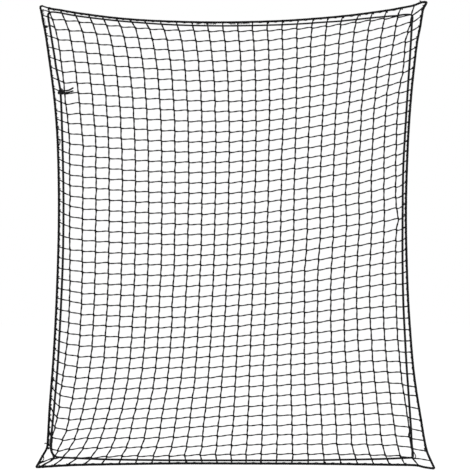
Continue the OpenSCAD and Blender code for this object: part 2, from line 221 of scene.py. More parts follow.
@dataclass(frozen=True)
class Section:
    """Cross-section of a twine, rope or cord, with its strands standing out as lobes.

    Attributes:
        radius: mean radius.
        sides: points round the section.
        lobes: strands that show in the outline; 0 is round.
        depth: how far they stand out, as a share of the radius.
        lay: length in which the strands go round once.
    """

    radius: float
    sides: int
    lobes: int = 0
    depth: float = 0.0
    lay: float = 1.0


def sweep(paths: np.ndarray, section: Section, aside: np.ndarray = Y_AXIS,
          thick: np.ndarray | float = 1.0) -> tuple[np.ndarray, np.ndarray, np.ndarray]:
    """Closed tubes along many paths at once. A point of the surface is path(s) + r (cos w N +
    sin w B), where N and B are square to the path and r is the radius times thick times
    1 + depth cos(lobes (w - 2 pi s / lay)).

    Args:
        paths: points of the paths, as (path, ring, xyz).
        section: the cross-section.
        aside: a direction that no path runs in, or one for each point.
        thick: factor on the radius, or one for each ring.

    Returns:
        Vertices, the quads of the walls, and the rings of the end caps.
    """
    count, rings, _ = paths.shape
    along = unit(np.gradient(paths, axis=1))
    n = unit(np.cross(along, np.broadcast_to(aside, paths.shape)))
    b = np.cross(n, along)
    w = TURN * np.arange(section.sides) / section.sides
    phase = section.lobes * (w - TURN * lengths(paths)[..., None] / section.lay)
    r = section.radius * (1 + section.depth * np.cos(phase))
    r = r * np.broadcast_to(np.asarray(thick, float), (count, rings))[..., None]
    ring = np.cos(w)[:, None] * n[:, :, None] + np.sin(w)[:, None] * b[:, :, None]
    vertices = (paths[:, :, None] + r[..., None] * ring).reshape(-1, 3)
    index = np.arange(count * rings * section.sides).reshape(count, rings, section.sides)
    beside = np.roll(index, -1, axis=2)
    quads = np.stack([index[:, :-1], beside[:, :-1], beside[:, 1:], index[:, 1:]], -1)
    caps = np.concatenate([index[:, 0, ::-1], index[:, -1]])
    return vertices, quads.reshape(-1, 4)[:, ::-1], caps[:, ::-1]


def sweep_uv(paths: np.ndarray, sides: int) -> np.ndarray:
    """UV of the walls of a sweep: u is the share of the way round, and v is the length along the
    path in metres.

    Args:
        paths: points of the paths, as (path, ring, xyz).
        sides: points round the section.

    Returns:
        Values as (quad, corner, uv), in the order of the sweep's quads.
    """
    s = lengths(paths)
    shape = (len(paths), paths.shape[1] - 1, sides)
    low = np.broadcast_to(s[:, :-1, None], shape)
    high = np.broadcast_to(s[:, 1:, None], shape)
    left = np.broadcast_to(np.arange(sides) / sides, shape)
    right = left + 1 / sides
    corners = np.stack([np.stack([left, low], -1), np.stack([right, low], -1),
                        np.stack([right, high], -1), np.stack([left, high], -1)], 3)
    return corners.reshape(-1, 4, 2)[:, ::-1]


def tube_object(name: str, paths: np.ndarray, section: Section, material: bpy.types.Material,
                aside: np.ndarray = Y_AXIS, thick: np.ndarray | float = 1.0) -> bpy.types.Object:
    """A mesh object of one or more closed tubes, smooth, with its UV map and material.

    Args:
        name: the piece's name.
        paths: points, as (path, ring, xyz) or (ring, xyz).
        section: the cross-section.
        material: the piece's material.
        aside: a direction that no path runs in, or one for each point.
        thick: factor on the radius, or one for each ring.

    Returns:
        The new object, at the origin.
    """
    if paths.ndim == 2:
        paths = paths[None]
    vertices, quads, caps = sweep(paths, section, aside, thick)
    mesh = bpy.data.meshes.new(name)
    mesh.from_pydata(vertices.tolist(), [], quads.tolist() + caps.tolist())
    uv = mesh.uv_layers.new(name="UVMap")
    walls = sweep_uv(paths, section.sides).reshape(-1, 2)
    ends = np.zeros((caps.size, 2))
    uv.data.foreach_set("uv", np.concatenate([walls, ends]).ravel())
    mesh.polygons.foreach_set("use_smooth", np.ones(len(mesh.polygons), bool))
    mesh.materials.append(material)
    mesh.update()
    obj = bpy.data.objects.new(name, mesh)
    bpy.context.scene.collection.objects.link(obj)
    LOG.info("%s: %d faces", name, len(mesh.polygons))
    return obj


# ---------------------------------------------------------------- finishes


@dataclass(frozen=True)
class LaidFinish:
    """Finish of a twine or rope laid up from strands, or of a braided cord.

    Attributes:
        dark: colour in the grooves between the strands, where it is painted shade, and in the darker
            spots of the fibre and wear noise.
        pale: colour on the strands' crowns.
        strands: stripes round it.
        pitch: length in which a stripe goes round once.
        crossed: True for a braid, whose stripes run both ways.
        groove: depth of the grooves, in metres.
        roughness: of the surface.
        sheen: weight of the fibres' sheen.
        sheen_roughness: how widely that sheen spreads.
        gloss: level of the mirror-like reflection.
        fibre_draw: how the fibres are drawn out, round the piece and along it.
        fibre_slant: angle at which they cross the piece.
        fibre_scale: fineness of the fibres.
        fibre_detail: how many finer copies of their noise are laid over it.
        wear_scale: fineness of the worn patches.
        wear_detail: the same for their noise.
        shares: what the stripes (painted shade in the grooves), the fibres and the wear each give to
            the colour.
        ramp: levels at which the colour is darkest and palest.
        relief: strength of the bump.
        fibre_relief: height of the fibres, beside a stripe's 1.
    """

    dark: Point3
    pale: Point3
    strands: float
    pitch: float
    crossed: bool = False
    groove: float = 0.0003
    roughness: float = 0.75
    sheen: float = 0.015
    sheen_roughness: float = 0.5
    gloss: float = 0.12
    fibre_draw: Point2 = (9.0, 260.0)
    fibre_slant: float = 0.35
    fibre_scale: float = 2.2
    fibre_detail: float = 3.0
    wear_scale: float = 14.0
    wear_detail: float = 2.0
    shares: Point3 = (0.22, 0.55, 0.45)
    ramp: Point2 = (0.2, 0.85)
    relief: float = 0.8
    fibre_relief: float = 0.6

    def material(self, name: str) -> bpy.types.Material:
        """The node material. A stripe's height is the sine of 2 pi (strands u + v / pitch), the
        fibres are noise drawn out along the stripes, and the colour follows both, with painted shade
        darkening it towards the stripes' grooves.

        Args:
            name: the material's name.

        Returns:
            The material.
        """
        mat = bpy.data.materials.new(name)
        mat.use_nodes = True
        tree = mat.node_tree
        nodes, links = tree.nodes, tree.links
        shader = nodes["Principled BSDF"]
        shader.inputs["Roughness"].default_value = self.roughness
        shader.inputs["Specular IOR Level"].default_value = self.gloss
        shader.inputs["Sheen Weight"].default_value = self.sheen
        shader.inputs["Sheen Roughness"].default_value = self.sheen_roughness
        uv = nodes.new("ShaderNodeUVMap")
        uv.uv_map = "UVMap"
        split = nodes.new("ShaderNodeSeparateXYZ")
        links.new(uv.outputs["UV"], split.inputs[0])

        def maths(operation: str, a: object, b: object = None) -> bpy.types.NodeSocket:
            """A Math node.

            Args:
                operation: what it does.
                a: its first input, a number or a socket.
                b: its second input, if it has one.

            Returns:
                Its output.
            """
            node = nodes.new("ShaderNodeMath")
            node.operation = operation
            for slot, value in zip(node.inputs, (a, b)):
                if isinstance(value, bpy.types.NodeSocket):
                    links.new(value, slot)
                elif value is not None:
                    slot.default_value = value
            return node.outputs[0]

        def stripe(direction: float) -> bpy.types.NodeSocket:
            """Height of the stripes that go round in one direction.

            Args:
                direction: 1 or -1.

            Returns:
                A value from -1 to 1.
            """
            around = maths("MULTIPLY", split.outputs["X"], TURN * self.strands * direction)
            down = maths("MULTIPLY", split.outputs["Y"], TURN / self.pitch * self.strands)
            return maths("SINE", maths("ADD", around, down))

        height = stripe(1.0)
        if self.crossed:
            height = maths("MAXIMUM", height, stripe(-1.0))
        stretch = nodes.new("ShaderNodeMapping")
        stretch.inputs["Scale"].default_value = (*self.fibre_draw, 1.0)
        stretch.inputs["Rotation"].default_value = (0.0, 0.0, self.fibre_slant)
        links.new(uv.outputs["UV"], stretch.inputs["Vector"])
        fibre = nodes.new("ShaderNodeTexNoise")
        fibre.inputs["Scale"].default_value = self.fibre_scale
        fibre.inputs["Detail"].default_value = self.fibre_detail
        links.new(stretch.outputs["Vector"], fibre.inputs["Vector"])
        place = nodes.new("ShaderNodeTexCoord")
        wear = nodes.new("ShaderNodeTexNoise")
        wear.inputs["Scale"].default_value = self.wear_scale
        wear.inputs["Detail"].default_value = self.wear_detail
        links.new(place.outputs["Object"], wear.inputs["Vector"])
        # painted shade: the stripes' share darkens the colour in the grooves between the strands
        stripe_shade_share, of_fibre, of_wear = self.shares
        level = maths("ADD", maths("MULTIPLY", height, stripe_shade_share),
                      maths("ADD", maths("MULTIPLY", fibre.outputs[0], of_fibre),
                            maths("MULTIPLY", wear.outputs[0], of_wear)))
        ramp = nodes.new("ShaderNodeValToRGB")
        for element, position, colour in zip(ramp.color_ramp.elements, self.ramp,
                                             (self.dark, self.pale)):
            element.position = position
            element.color = (*colour, 1.0)
        links.new(level, ramp.inputs[0])
        links.new(ramp.outputs["Color"], shader.inputs["Base Color"])
        bump = nodes.new("ShaderNodeBump")
        bump.inputs["Strength"].default_value = self.relief
        bump.inputs["Distance"].default_value = self.groove
        relief = maths("ADD", height, maths("MULTIPLY", fibre.outputs[0], self.fibre_relief))
        links.new(relief, bump.inputs["Height"])
        links.new(bump.outputs["Normal"], shader.inputs["Normal"])
        return mat


TWINE_FINISH = LaidFinish(dark=PAINTED_GROOVE_SHADE, pale=(0.0078, 0.0078, 0.0085),
                          strands=2, pitch=0.012, groove=0.00025)
ROPE_FINISH = LaidFinish(dark=PAINTED_GROOVE_SHADE, pale=(0.0080, 0.0080, 0.0088),
                         strands=3, pitch=0.016, groove=0.0004)
LASHING_FINISH = LaidFinish(dark=PAINTED_GROOVE_SHADE, pale=(0.0078, 0.0078, 0.0085),
                            strands=2, pitch=0.008, groove=0.0002)
CORD_FINISH = LaidFinish(dark=PAINTED_GROOVE_SHADE, pale=(0.0090, 0.0092, 0.0102), strands=6,
                         pitch=0.022, crossed=True, roughness=0.65, sheen=0.02)


# ---------------------------------------------------------------- the net's lines


@dataclass(frozen=True)
class Outline:
    """Centre line of the border rope.

    Attributes:
        bottom_width: between the two bottom corners.
        top_width: between the two top corners.
        height: between the two right-hand corners.
        left_drop: how far the top left corner hangs below the top right one.
        left_rise: how far the bottom left corner lies above the bottom right one.
        top_shift: how far the top corners are shifted to the left.
        half_chord: half of the chord that gives the rope's direction, as a share of the length.
        sags: for each side, (share of the length, how far it sags inwards).
    """

    bottom_width: float = 1.248
    top_width: float = 1.211
    height: float = 1.460
    left_drop: float = 0.014
    left_rise: float = 0.004
    top_shift: float = 0.006
    half_chord: float = 0.003
    sags: dict[Side, Pairs] = field(default_factory=lambda: {
        Side.TOP: ((0, 0.), (0.006, -0.002), (0.012, 0.0005), (0.025, 0.0055), (0.05, 0.0105),
                   (0.1, 0.0215), (0.2, 0.0383), (0.3, 0.0483), (0.45, 0.055), (0.6, 0.0538),
                   (0.7, 0.048), (0.8, 0.0383), (0.9, 0.0235), (0.935, 0.0163),
                   (0.968, 0.0088), (0.98, 0.0032), (0.99, -0.0003), (1, 0.)),
        Side.RIGHT: ((0, 0.), (0.014, 0.0112), (0.034, 0.0172), (0.055, 0.0226),
                     (0.077, 0.0301), (0.1, 0.0356), (0.12, 0.0396), (0.2, 0.0538), (0.3, 0.0663),
                     (0.45, 0.0764), (0.6, 0.0756), (0.7, 0.0698), (0.8, 0.0593), (0.9, 0.0391),
                     (0.96, 0.0244), (0.985, 0.0102), (1, 0.)),
        Side.BOTTOM: ((0, 0.), (0.05, 0.0043), (0.1, 0.0076), (0.2, 0.0105), (0.35, 0.0135),
                      (0.5, 0.0139), (0.7, 0.0137), (0.9, 0.0113), (0.955, 0.0098),
                      (0.975, 0.0042), (1, 0.)),
        Side.LEFT: ((0, 0.), (0.012, 0.005), (0.03, 0.0095), (0.05, 0.0159), (0.1, 0.0276),
                    (0.2, 0.0476), (0.3, 0.0594), (0.45, 0.0648), (0.6, 0.0616), (0.75, 0.0528),
                    (0.87, 0.0411), (0.9, 0.0391), (0.935, 0.0366), (0.957, 0.0341),
                    (0.975, 0.0206), (0.9885, 0.01), (1, 0.)),
    })

    def tip(self, corner: Corner) -> np.ndarray:
        """A corner of the rope.

        Args:
            corner: which one.

        Returns:
            The point (x, z).
        """
        return {
            Corner.TOP_LEFT: np.array([-self.top_width / 2 - self.top_shift,
                                       self.height / 2 - self.left_drop]),
            Corner.TOP_RIGHT: np.array([self.top_width / 2 - self.top_shift, self.height / 2]),
            Corner.BOTTOM_RIGHT: np.array([self.bottom_width / 2, -self.height / 2]),
            Corner.BOTTOM_LEFT: np.array([-self.bottom_width / 2,
                                          -self.height / 2 + self.left_rise]),
        }[corner]

    def ends(self, side: Side) -> tuple[np.ndarray, np.ndarray]:
        """The two corners that a side runs between, as (x, z)."""
        first, last = SIDE_ENDS[side]
        return self.tip(first), self.tip(last)

    def point(self, side: Side, t: np.ndarray) -> np.ndarray:
        """Points (x, z) at shares t of a side."""
        return hanging(side, *self.ends(side), self.sags[side], t)

    def along(self, side: Side, t: np.ndarray) -> np.ndarray:
        """Directions of the rope: those of chords between points a little to each side.

        Args:
            side: the side.
            t: shares of its length.

        Returns:
            Directions (x, z), in t's shape.
        """
        t = np.asarray(t, float)
        return unit(self.point(side, np.minimum(t + self.half_chord, 1))
                    - self.point(side, np.maximum(t - self.half_chord, 0)))

    def inwards(self, side: Side, t: np.ndarray) -> np.ndarray:
        """Directions square to the rope, into the net.

        Args:
            side: the side.
            t: shares of its length.

        Returns:
            Directions (x, z), in t's shape.
        """
        a = self.along(side, t)
        n = np.stack([-a[..., 1], a[..., 0]], -1)
        return n * np.sign((n * np.array(side.value)).sum(-1, keepdims=True))

    def length(self, side: Side) -> float:
        """Straight distance between a side's corners."""
        a, b = self.ends(side)
        return float(np.linalg.norm(b - a))


@dataclass(frozen=True)
class CordLine:
    """Centre line of the draw cord.

    Attributes:
        outline: the border rope's line.
        offsets: each of the cord's corners, as (x, z) from the rope's.
        sags: for each side, (share of the length, how far it sags inwards).
    """

    outline: Outline
    offsets: dict[Corner, Point2] = field(default_factory=lambda: {
        Corner.TOP_LEFT: (0.029, -0.018), Corner.TOP_RIGHT: (-0.045, -0.040),
        Corner.BOTTOM_RIGHT: (-0.068, 0.035), Corner.BOTTOM_LEFT: (0.056, 0.033)})
    sags: dict[Side, Pairs] = field(default_factory=lambda: {
        Side.TOP: ((0, 0), (0.012, -0.0006), (0.03, 0.0016), (0.045, 0.005), (0.08, 0.0115),
                   (0.12, 0.0172), (0.2, 0.0265), (0.32, 0.0356), (0.4, 0.0384), (0.5, 0.0386),
                   (0.6, 0.0358), (0.69, 0.031), (0.75, 0.0257), (0.8, 0.0216), (0.88, 0.0114),
                   (0.94, 0.0046), (0.955, 0.0033), (0.97, 0.0006), (0.985, -0.001), (1, 0)),
        Side.RIGHT: ((0, 0), (0.012, 0.0008), (0.02, 0.0025), (0.03, 0.003), (0.09, 0.008),
                     (0.16, 0.0145), (0.28, 0.025), (0.35, 0.0299), (0.45, 0.0319),
                     (0.55, 0.0324), (0.65, 0.030), (0.75, 0.0233), (0.8, 0.0194),
                     (0.87, 0.0125), (0.94, 0.006), (0.97, 0.004), (0.985, 0.0013), (1, 0)),
        Side.BOTTOM: ((0, 0), (0.03, -0.0018), (0.1, -0.0052), (0.15, -0.0073), (0.3, -0.0094),
                      (0.45, -0.0096), (0.6, -0.0095), (0.7, -0.0089), (0.8, -0.007),
                      (0.9, -0.0047), (0.97, -0.0016), (1, 0)),
        Side.LEFT: ((0, 0), (0.006, -0.003), (0.02, -0.0012), (0.03, 0.0013), (0.06, 0.0073),
                    (0.1, 0.0158), (0.125, 0.0205), (0.15, 0.0268), (0.18, 0.0332),
                    (0.25, 0.0365), (0.37, 0.039), (0.45, 0.0387), (0.55, 0.0354),
                    (0.65, 0.0286), (0.75, 0.0199), (0.8, 0.0148), (0.9, 0.0014),
                    (0.94, -0.0047), (0.97, -0.0077), (0.985, -0.0071), (1, 0)),
    })

    def corner(self, corner: Corner) -> np.ndarray:
        """The cord's corner, as (x, z)."""
        return self.outline.tip(corner) + np.array(self.offsets[corner])

    def point(self, side: Side, t: np.ndarray) -> np.ndarray:
        """Points (x, z) at shares t of a side."""
        first, last = SIDE_ENDS[side]
        return hanging(side, self.corner(first), self.corner(last), self.sags[side], t)


@dataclass(frozen=True)
class Pull:
    """A place where the meshes are drawn aside.

    Attributes:
        at: the upright twine and the level twine of its middle.
        spread: meshes across and down in which it fades, as a bell.
        move: how far the joint in the middle is moved, as (x, z).
    """

    at: Point2
    spread: Point2
    move: Point2

    def shift(self, i: np.ndarray, j: np.ndarray) -> np.ndarray:
        """How far joints i, j are moved, as (x, z): move times e^-(distance in spreads)^2."""
        far = ((i - self.at[0]) / self.spread[0]) ** 2 + ((j - self.at[1]) / self.spread[1]) ** 2
        return np.exp(-far)[..., None] * np.array(self.move)


@dataclass(frozen=True)
class MeshLines:
    """Where the netting's joints lie, between upright twines 1 to 26 and level twines 1 to 43.

    They hang between four sagging lines one mesh inside the border. The joints crowd towards the
    bottom left, are gathered at the corners, and the outermost are drawn towards their ties.

    Attributes:
        outline: the border rope's line.
        cord: the draw cord's line.
        columns: meshes across.
        rows: meshes down.
        ties: for each side, (twine, share of the side at which it is tied).
        line_corners: the outermost joints at each corner, as (x, z) from the rope's corner.
        line_sags: depth, place of the deepest sag and fullness of each inner line.
        middle_bow: how far the net's middle is drawn to the right.
        crowding: how much the joints crowd along the bottom.
        gathers: how far each corner's joints are gathered, and the meshes in which that fades.
        edge_draws: share of the way to its tie that an outermost joint is drawn, its set-off and
            its fade.
        pulls: places where the meshes are drawn aside.
        cord_stop: softness with which the left-hand cord stops a joint.
        cord_points: points at which that cord's line is worked out.
        unevenness: spread of each joint's own small displacement.
        seed: of those displacements.
    """

    outline: Outline
    cord: CordLine
    columns: int = 27
    rows: int = 44
    ties: dict[Side, Pairs] = field(default_factory=lambda: {
        Side.TOP: ((0, 0), (1, 0.0215), (2, 0.053), (3, 0.089), (4, 0.1255), (6, 0.1975),
                   (8, 0.2695), (10, 0.352), (13, 0.472), (17, 0.627), (18, 0.668), (20, 0.745),
                   (21, 0.783), (22, 0.825), (23, 0.860), (25, 0.9335), (26, 0.968), (27, 1)),
        Side.BOTTOM: ((0, 0), (1, 0.0075), (2, 0.0095), (3, 0.041), (4, 0.0755), (5, 0.1195),
                      (7, 0.207), (9, 0.2905), (11, 0.377), (12, 0.417), (14, 0.491),
                      (16, 0.563), (18, 0.642), (20, 0.723), (22, 0.8065), (25, 0.926),
                      (26, 0.961), (27, 1)),
        Side.LEFT: ((0, 0), (1, 0.018), (2, 0.0435), (3, 0.062), (4, 0.087), (7, 0.153),
                    (9, 0.2010), (10, 0.225), (11, 0.2435), (15, 0.330), (18, 0.3975),
                    (21, 0.467), (22, 0.4945), (23, 0.521), (26, 0.5895), (28, 0.6325),
                    (30, 0.679), (34, 0.765), (35, 0.789), (37, 0.826), (38, 0.8475),
                    (39, 0.866), (41, 0.9155), (42, 0.957), (43, 0.9935), (44, 1)),
        Side.RIGHT: ((0, 0), (1, 0.008), (2, 0.0285), (3, 0.0505), (4, 0.0755), (6, 0.117),
                     (9, 0.187), (12, 0.2565), (14, 0.297), (16, 0.339), (19, 0.4085),
                     (21, 0.455), (22, 0.482), (26, 0.578), (28, 0.627), (31, 0.702),
                     (33, 0.750), (35, 0.797), (36, 0.825), (37, 0.844), (38, 0.872),
                     (40, 0.920), (41, 0.940), (42, 0.9625), (43, 0.983), (44, 1)),
    })
    line_corners: dict[Corner, Point2] = field(default_factory=lambda: {
        Corner.TOP_LEFT: (0.026, -0.024), Corner.TOP_RIGHT: (-0.039, -0.008),
        Corner.BOTTOM_RIGHT: (-0.007, 0.044), Corner.BOTTOM_LEFT: (0.033, 0.008)})
    line_sags: dict[Side, Point3] = field(default_factory=lambda: {
        Side.TOP: (0.061, 0.5, 2.0), Side.RIGHT: (0.087, 0.65, 2.3),
        Side.BOTTOM: (0.004, 0.5, 2.0), Side.LEFT: (0.068, 0.5, 3.1)})
    middle_bow: float = 0.023
    crowding: float = -0.144
    gathers: dict[Corner, tuple[Point2, Point2]] = field(default_factory=lambda: {
        Corner.TOP_LEFT: ((0.017, -0.015), (3, 6)), Corner.TOP_RIGHT: ((-0.007, -0.033), (8, 5)),
        Corner.BOTTOM_RIGHT: ((-0.058, -0.015), (4, 6)),
        Corner.BOTTOM_LEFT: ((-0.032, 0.033), (10, 3))})
    edge_draws: dict[Side, Point3] = field(default_factory=lambda: {
        Side.TOP: (0.24, 0.0004, 1.3), Side.RIGHT: (0.26, -0.0026, 1.3),
        Side.BOTTOM: (0.18, 0.0002, 1.15), Side.LEFT: (0.45, -0.0034, 1.9)})
    pulls: tuple[Pull, ...] = (
        Pull((3, 1), (3, 0.7), (-0.001, 0.0015)), Pull((22.3, 1), (1.4, 0.7), (0, 0.001)),
        Pull((26, 1), (0.7, 0.7), (-0.002, -0.0058)), Pull((26, 9), (1.5, 6), (-0.010, -0.0005)),
        Pull((25.3, 1.4), (0.8, 0.8), (-0.003, 0.0005)), Pull((8, 8), (3.5, 2.5), (-0.0015, 0.0025)),
        Pull((1, 6.5), (0.7, 2.5), (-0.0035, -0.004)), Pull((8, 14), (3.5, 6), (-0.0035, 0)),
        Pull((2, 13), (1.2, 1.5), (0.0035, -0.002)), Pull((17, 15), (4, 3), (-0.0005, 0.002)),
        Pull((12, 21), (3.5, 2.5), (-0.001, -0.0025)), Pull((23.5, 21), (3, 2), (0.004, 0)),
        Pull((19.5, 23), (3.5, 4), (0.0025, 0.003)), Pull((24, 27.5), (3, 4), (-0.0035, 0.001)),
        Pull((10, 27.5), (3, 2.5), (-0.0025, -0.0025)), Pull((8, 30), (4, 3), (0, -0.002)),
        Pull((3, 31), (1.5, 3), (-0.0005, 0.003)), Pull((25.5, 33), (1.3, 3), (0.0005, -0.004)),
        Pull((4, 38.5), (1.5, 3), (-0.0015, 0.001)), Pull((26, 39.5), (0.8, 1.8), (0.0045, -0.001)),
        Pull((7, 39.5), (2, 2.5), (-0.0055, 0.0005)), Pull((2, 40.5), (0.9, 1.6), (0.0075, -0.006)),
        Pull((14, 40), (4, 2), (0, 0.003)), Pull((22, 42), (2.5, 1.5), (-0.007, 0.0015)),
        Pull((12, 42.5), (3, 1), (0.004, -0.0025)), Pull((17, 43), (6, 2.5), (0.0005, 0.0055)),
        Pull((5, 43), (1.5, 0.8), (-0.002, -0.0045)), Pull((2, 43), (2.5, 1.8), (-0.0005, -0.0085)),
        Pull((1, 40.5), (0.6, 2), (0.0065, -0.003)), Pull((1, 9), (0.7, 5), (0.002, -0.004)),
        Pull((1, 17), (0.7, 2.5), (0.001, -0.0025)), Pull((1, 28), (0.7, 5), (0.0035, 0.0045)),
        Pull((12, 43), (1.8, 0.8), (-0.001, 0.0025)), Pull((8, 41), (1.5, 1.2), (0.003, -0.001)),
        Pull((26, 2), (0.7, 0.8), (0.0045, 0.0005)), Pull((18, 25), (2.5, 2), (-0.0035, -0.002)),
        Pull((10, 38), (2, 1.5), (-0.0025, -0.002)), Pull((26, 7), (0.8, 1.2), (0.005, -0.001)),
        Pull((23, 10), (1.3, 1.3), (-0.002, -0.003)), Pull((24, 40), (2, 2), (-0.0025, 0.001)),
        Pull((20, 27), (2, 3), (-0.002, 0.0005)), Pull((3, 2), (1, 0.8), (0.0015, 0.003)),
        Pull((1, 43), (0.6, 0.8), (-0.0115, 0.0140)), Pull((26, 43), (0.6, 0.8), (-0.005, 0.003)),
        Pull((25, 43), (0.8, 0.6), (0, 0.0035)), Pull((1, 39.3), (0.6, 1.2), (0.0025, -0.0080)),
        Pull((1, 8.5), (0.6, 0.9), (-0.0038, -0.003)), Pull((1, 2), (0.7, 0.5), (-0.001, 0.0015)),
        Pull((26, 2.5), (0.7, 1.2), (-0.0022, 0)), Pull((2, 42.1), (0.6, 0.7), (0.004, -0.002)),
        Pull((26, 17), (0.6, 2.6), (-0.0020, 0)), Pull((26, 21), (0.5, 0.6), (0.0060, 0)),
        Pull((26, 4), (0.6, 0.9), (-0.0035, 0)), Pull((24, 1), (1.2, 0.6), (0, 0.0018)),
        Pull((1, 1), (0.6, 0.6), (-0.0015, -0.0025)), Pull((1, 41), (0.6, 0.7), (-0.0035, 0)),
        Pull((1.5, 42), (0.8, 0.5), (0, -0.0025)), Pull((23.5, 43), (2, 1.2), (0, 0.0026)),
        Pull((1, 42), (0.5, 0.5), (0.0020, 0.0045)), Pull((1, 38), (0.6, 0.6), (0.0025, -0.0025)),
        Pull((25.5, 41.6), (1, 0.8), (0, 0.0055)), Pull((26, 41), (0.5, 0.5), (-0.0030, 0)),
    )
    cord_stop: float = 0.0075
    cord_points: int = 400
    unevenness: float = 0.0005
    seed: int = 7

    def sag(self, side: Side, t: np.ndarray) -> np.ndarray:
        """Sag of an inner line: depth times 1 - |distance from the deepest place| ^ fullness.

        Args:
            side: the line's side.
            t: shares of its length.

        Returns:
            How far it sags inwards, in t's shape.
        """
        depth, peak, power = self.line_sags[side]
        away = np.where(t < peak, (peak - t) / peak, (t - peak) / (1 - peak))
        return depth * (1 - np.abs(away) ** power)

    def tie(self, side: Side, k: np.ndarray) -> np.ndarray:
        """Share of a side's length at which twine k is tied."""
        return smooth(self.ties[side], k)

    def joints(self) -> np.ndarray:
        """All joints: the weighted mean of the four line corners, plus the sags of the four inner
        lines, the middle's bow (16 u (1 - u) v (1 - v) times middle_bow), the gathers, the draws
        to the ties and the pulls.

        Returns:
            Points (x, z), as (upright twine, level twine, xz), both counted from 1.
        """
        last_i, last_j = self.columns - 1, self.rows - 1
        i, j = np.meshgrid(np.arange(1.0, last_i + 1), np.arange(1.0, last_j + 1), indexing="ij")
        a, v = (i - 1) / (last_i - 1), (j - 1) / (last_j - 1)
        u = a + a * (1 - a) * self.crowding * v
        c = {k: self.outline.tip(k) + np.array(o) for k, o in self.line_corners.items()}
        weights = {Corner.TOP_LEFT: (1 - u) * (1 - v), Corner.TOP_RIGHT: u * (1 - v),
                   Corner.BOTTOM_RIGHT: u * v, Corner.BOTTOM_LEFT: (1 - u) * v}
        p = sum(w[..., None] * c[k] for k, w in weights.items())
        x = ((1 - u) * self.sag(Side.LEFT, v) - u * self.sag(Side.RIGHT, v)
             + self.middle_bow * 16 * u * (1 - u) * v * (1 - v))
        z = v * self.sag(Side.BOTTOM, u) - (1 - v) * self.sag(Side.TOP, u)
        p = p + np.stack([x, z], -1)
        for corner, (move, fade) in self.gathers.items():
            _, at_right, _, at_bottom = corner.value
            across = last_i - i if at_right else i - 1
            down = last_j - j if at_bottom else j - 1
            p = p + np.exp(-across / fade[0] - down / fade[1])[..., None] * np.array(move)
        p = self.drawn_to_ties(p, i, j)
        for pull in self.pulls:
            p = p + pull.shift(i, j)
        p = self.held_by_cord(p)
        jitter = np.random.default_rng(self.seed).normal(0.0, self.unevenness, p.shape)
        return p + np.clip(jitter, -2 * self.unevenness, 2 * self.unevenness)

    def drawn_to_ties(self, p: np.ndarray, i: np.ndarray, j: np.ndarray) -> np.ndarray:
        """Joints with the outermost drawn towards their ties: level twines move up or down at
        the sides, and upright twines sideways at the top and bottom.

        Args:
            p: the joints, as (upright twine, level twine, xz).
            i: the upright twine of each, counted from 1.
            j: the level twine of each.

        Returns:
            The moved joints.
        """
        p = p.copy()
        last_i, last_j = self.columns - 1, self.rows - 1
        k_i, k_j = np.arange(1.0, last_i + 1), np.arange(1.0, last_j + 1)
        for side, away in ((Side.LEFT, i - 1), (Side.RIGHT, last_i - i)):
            share, offset, fade = self.edge_draws[side]
            edge = p[0, :, 1] if side is Side.LEFT else p[-1, :, 1]
            target = self.outline.point(side, self.tie(side, k_j))[:, 1]
            p[..., 1] += np.exp(-fade * away) * (share * (target - edge) + offset)[None, :]
        for side, away in ((Side.TOP, j - 1), (Side.BOTTOM, last_j - j)):
            share, offset, fade = self.edge_draws[side]
            edge = p[:, 0, 0] if side is Side.TOP else p[:, -1, 0]
            target = self.outline.point(side, self.tie(side, k_i))[:, 0]
            p[..., 0] += np.exp(-fade * away) * (share * (target - edge) + offset)[:, None]
        return p

    def held_by_cord(self, p: np.ndarray) -> np.ndarray:
        """Joints kept to the right of the left-hand cord: x becomes c + w log(1 + e^((x-c)/w)),
        where c is the cord's x at that height and w is cord_stop.

        Args:
            p: the joints, as (upright twine, level twine, xz).

        Returns:
            The moved joints.
        """
        line = self.cord.point(Side.LEFT, np.linspace(1, 0, self.cord_points))
        stop = np.interp(p[..., 1], line[:, 1], line[:, 0])
        p = p.copy()
        p[..., 0] = stop + self.cord_stop * np.logaddexp(0, (p[..., 0] - stop) / self.cord_stop)
        return p


# ---------------------------------------------------------------- sub-assemblies


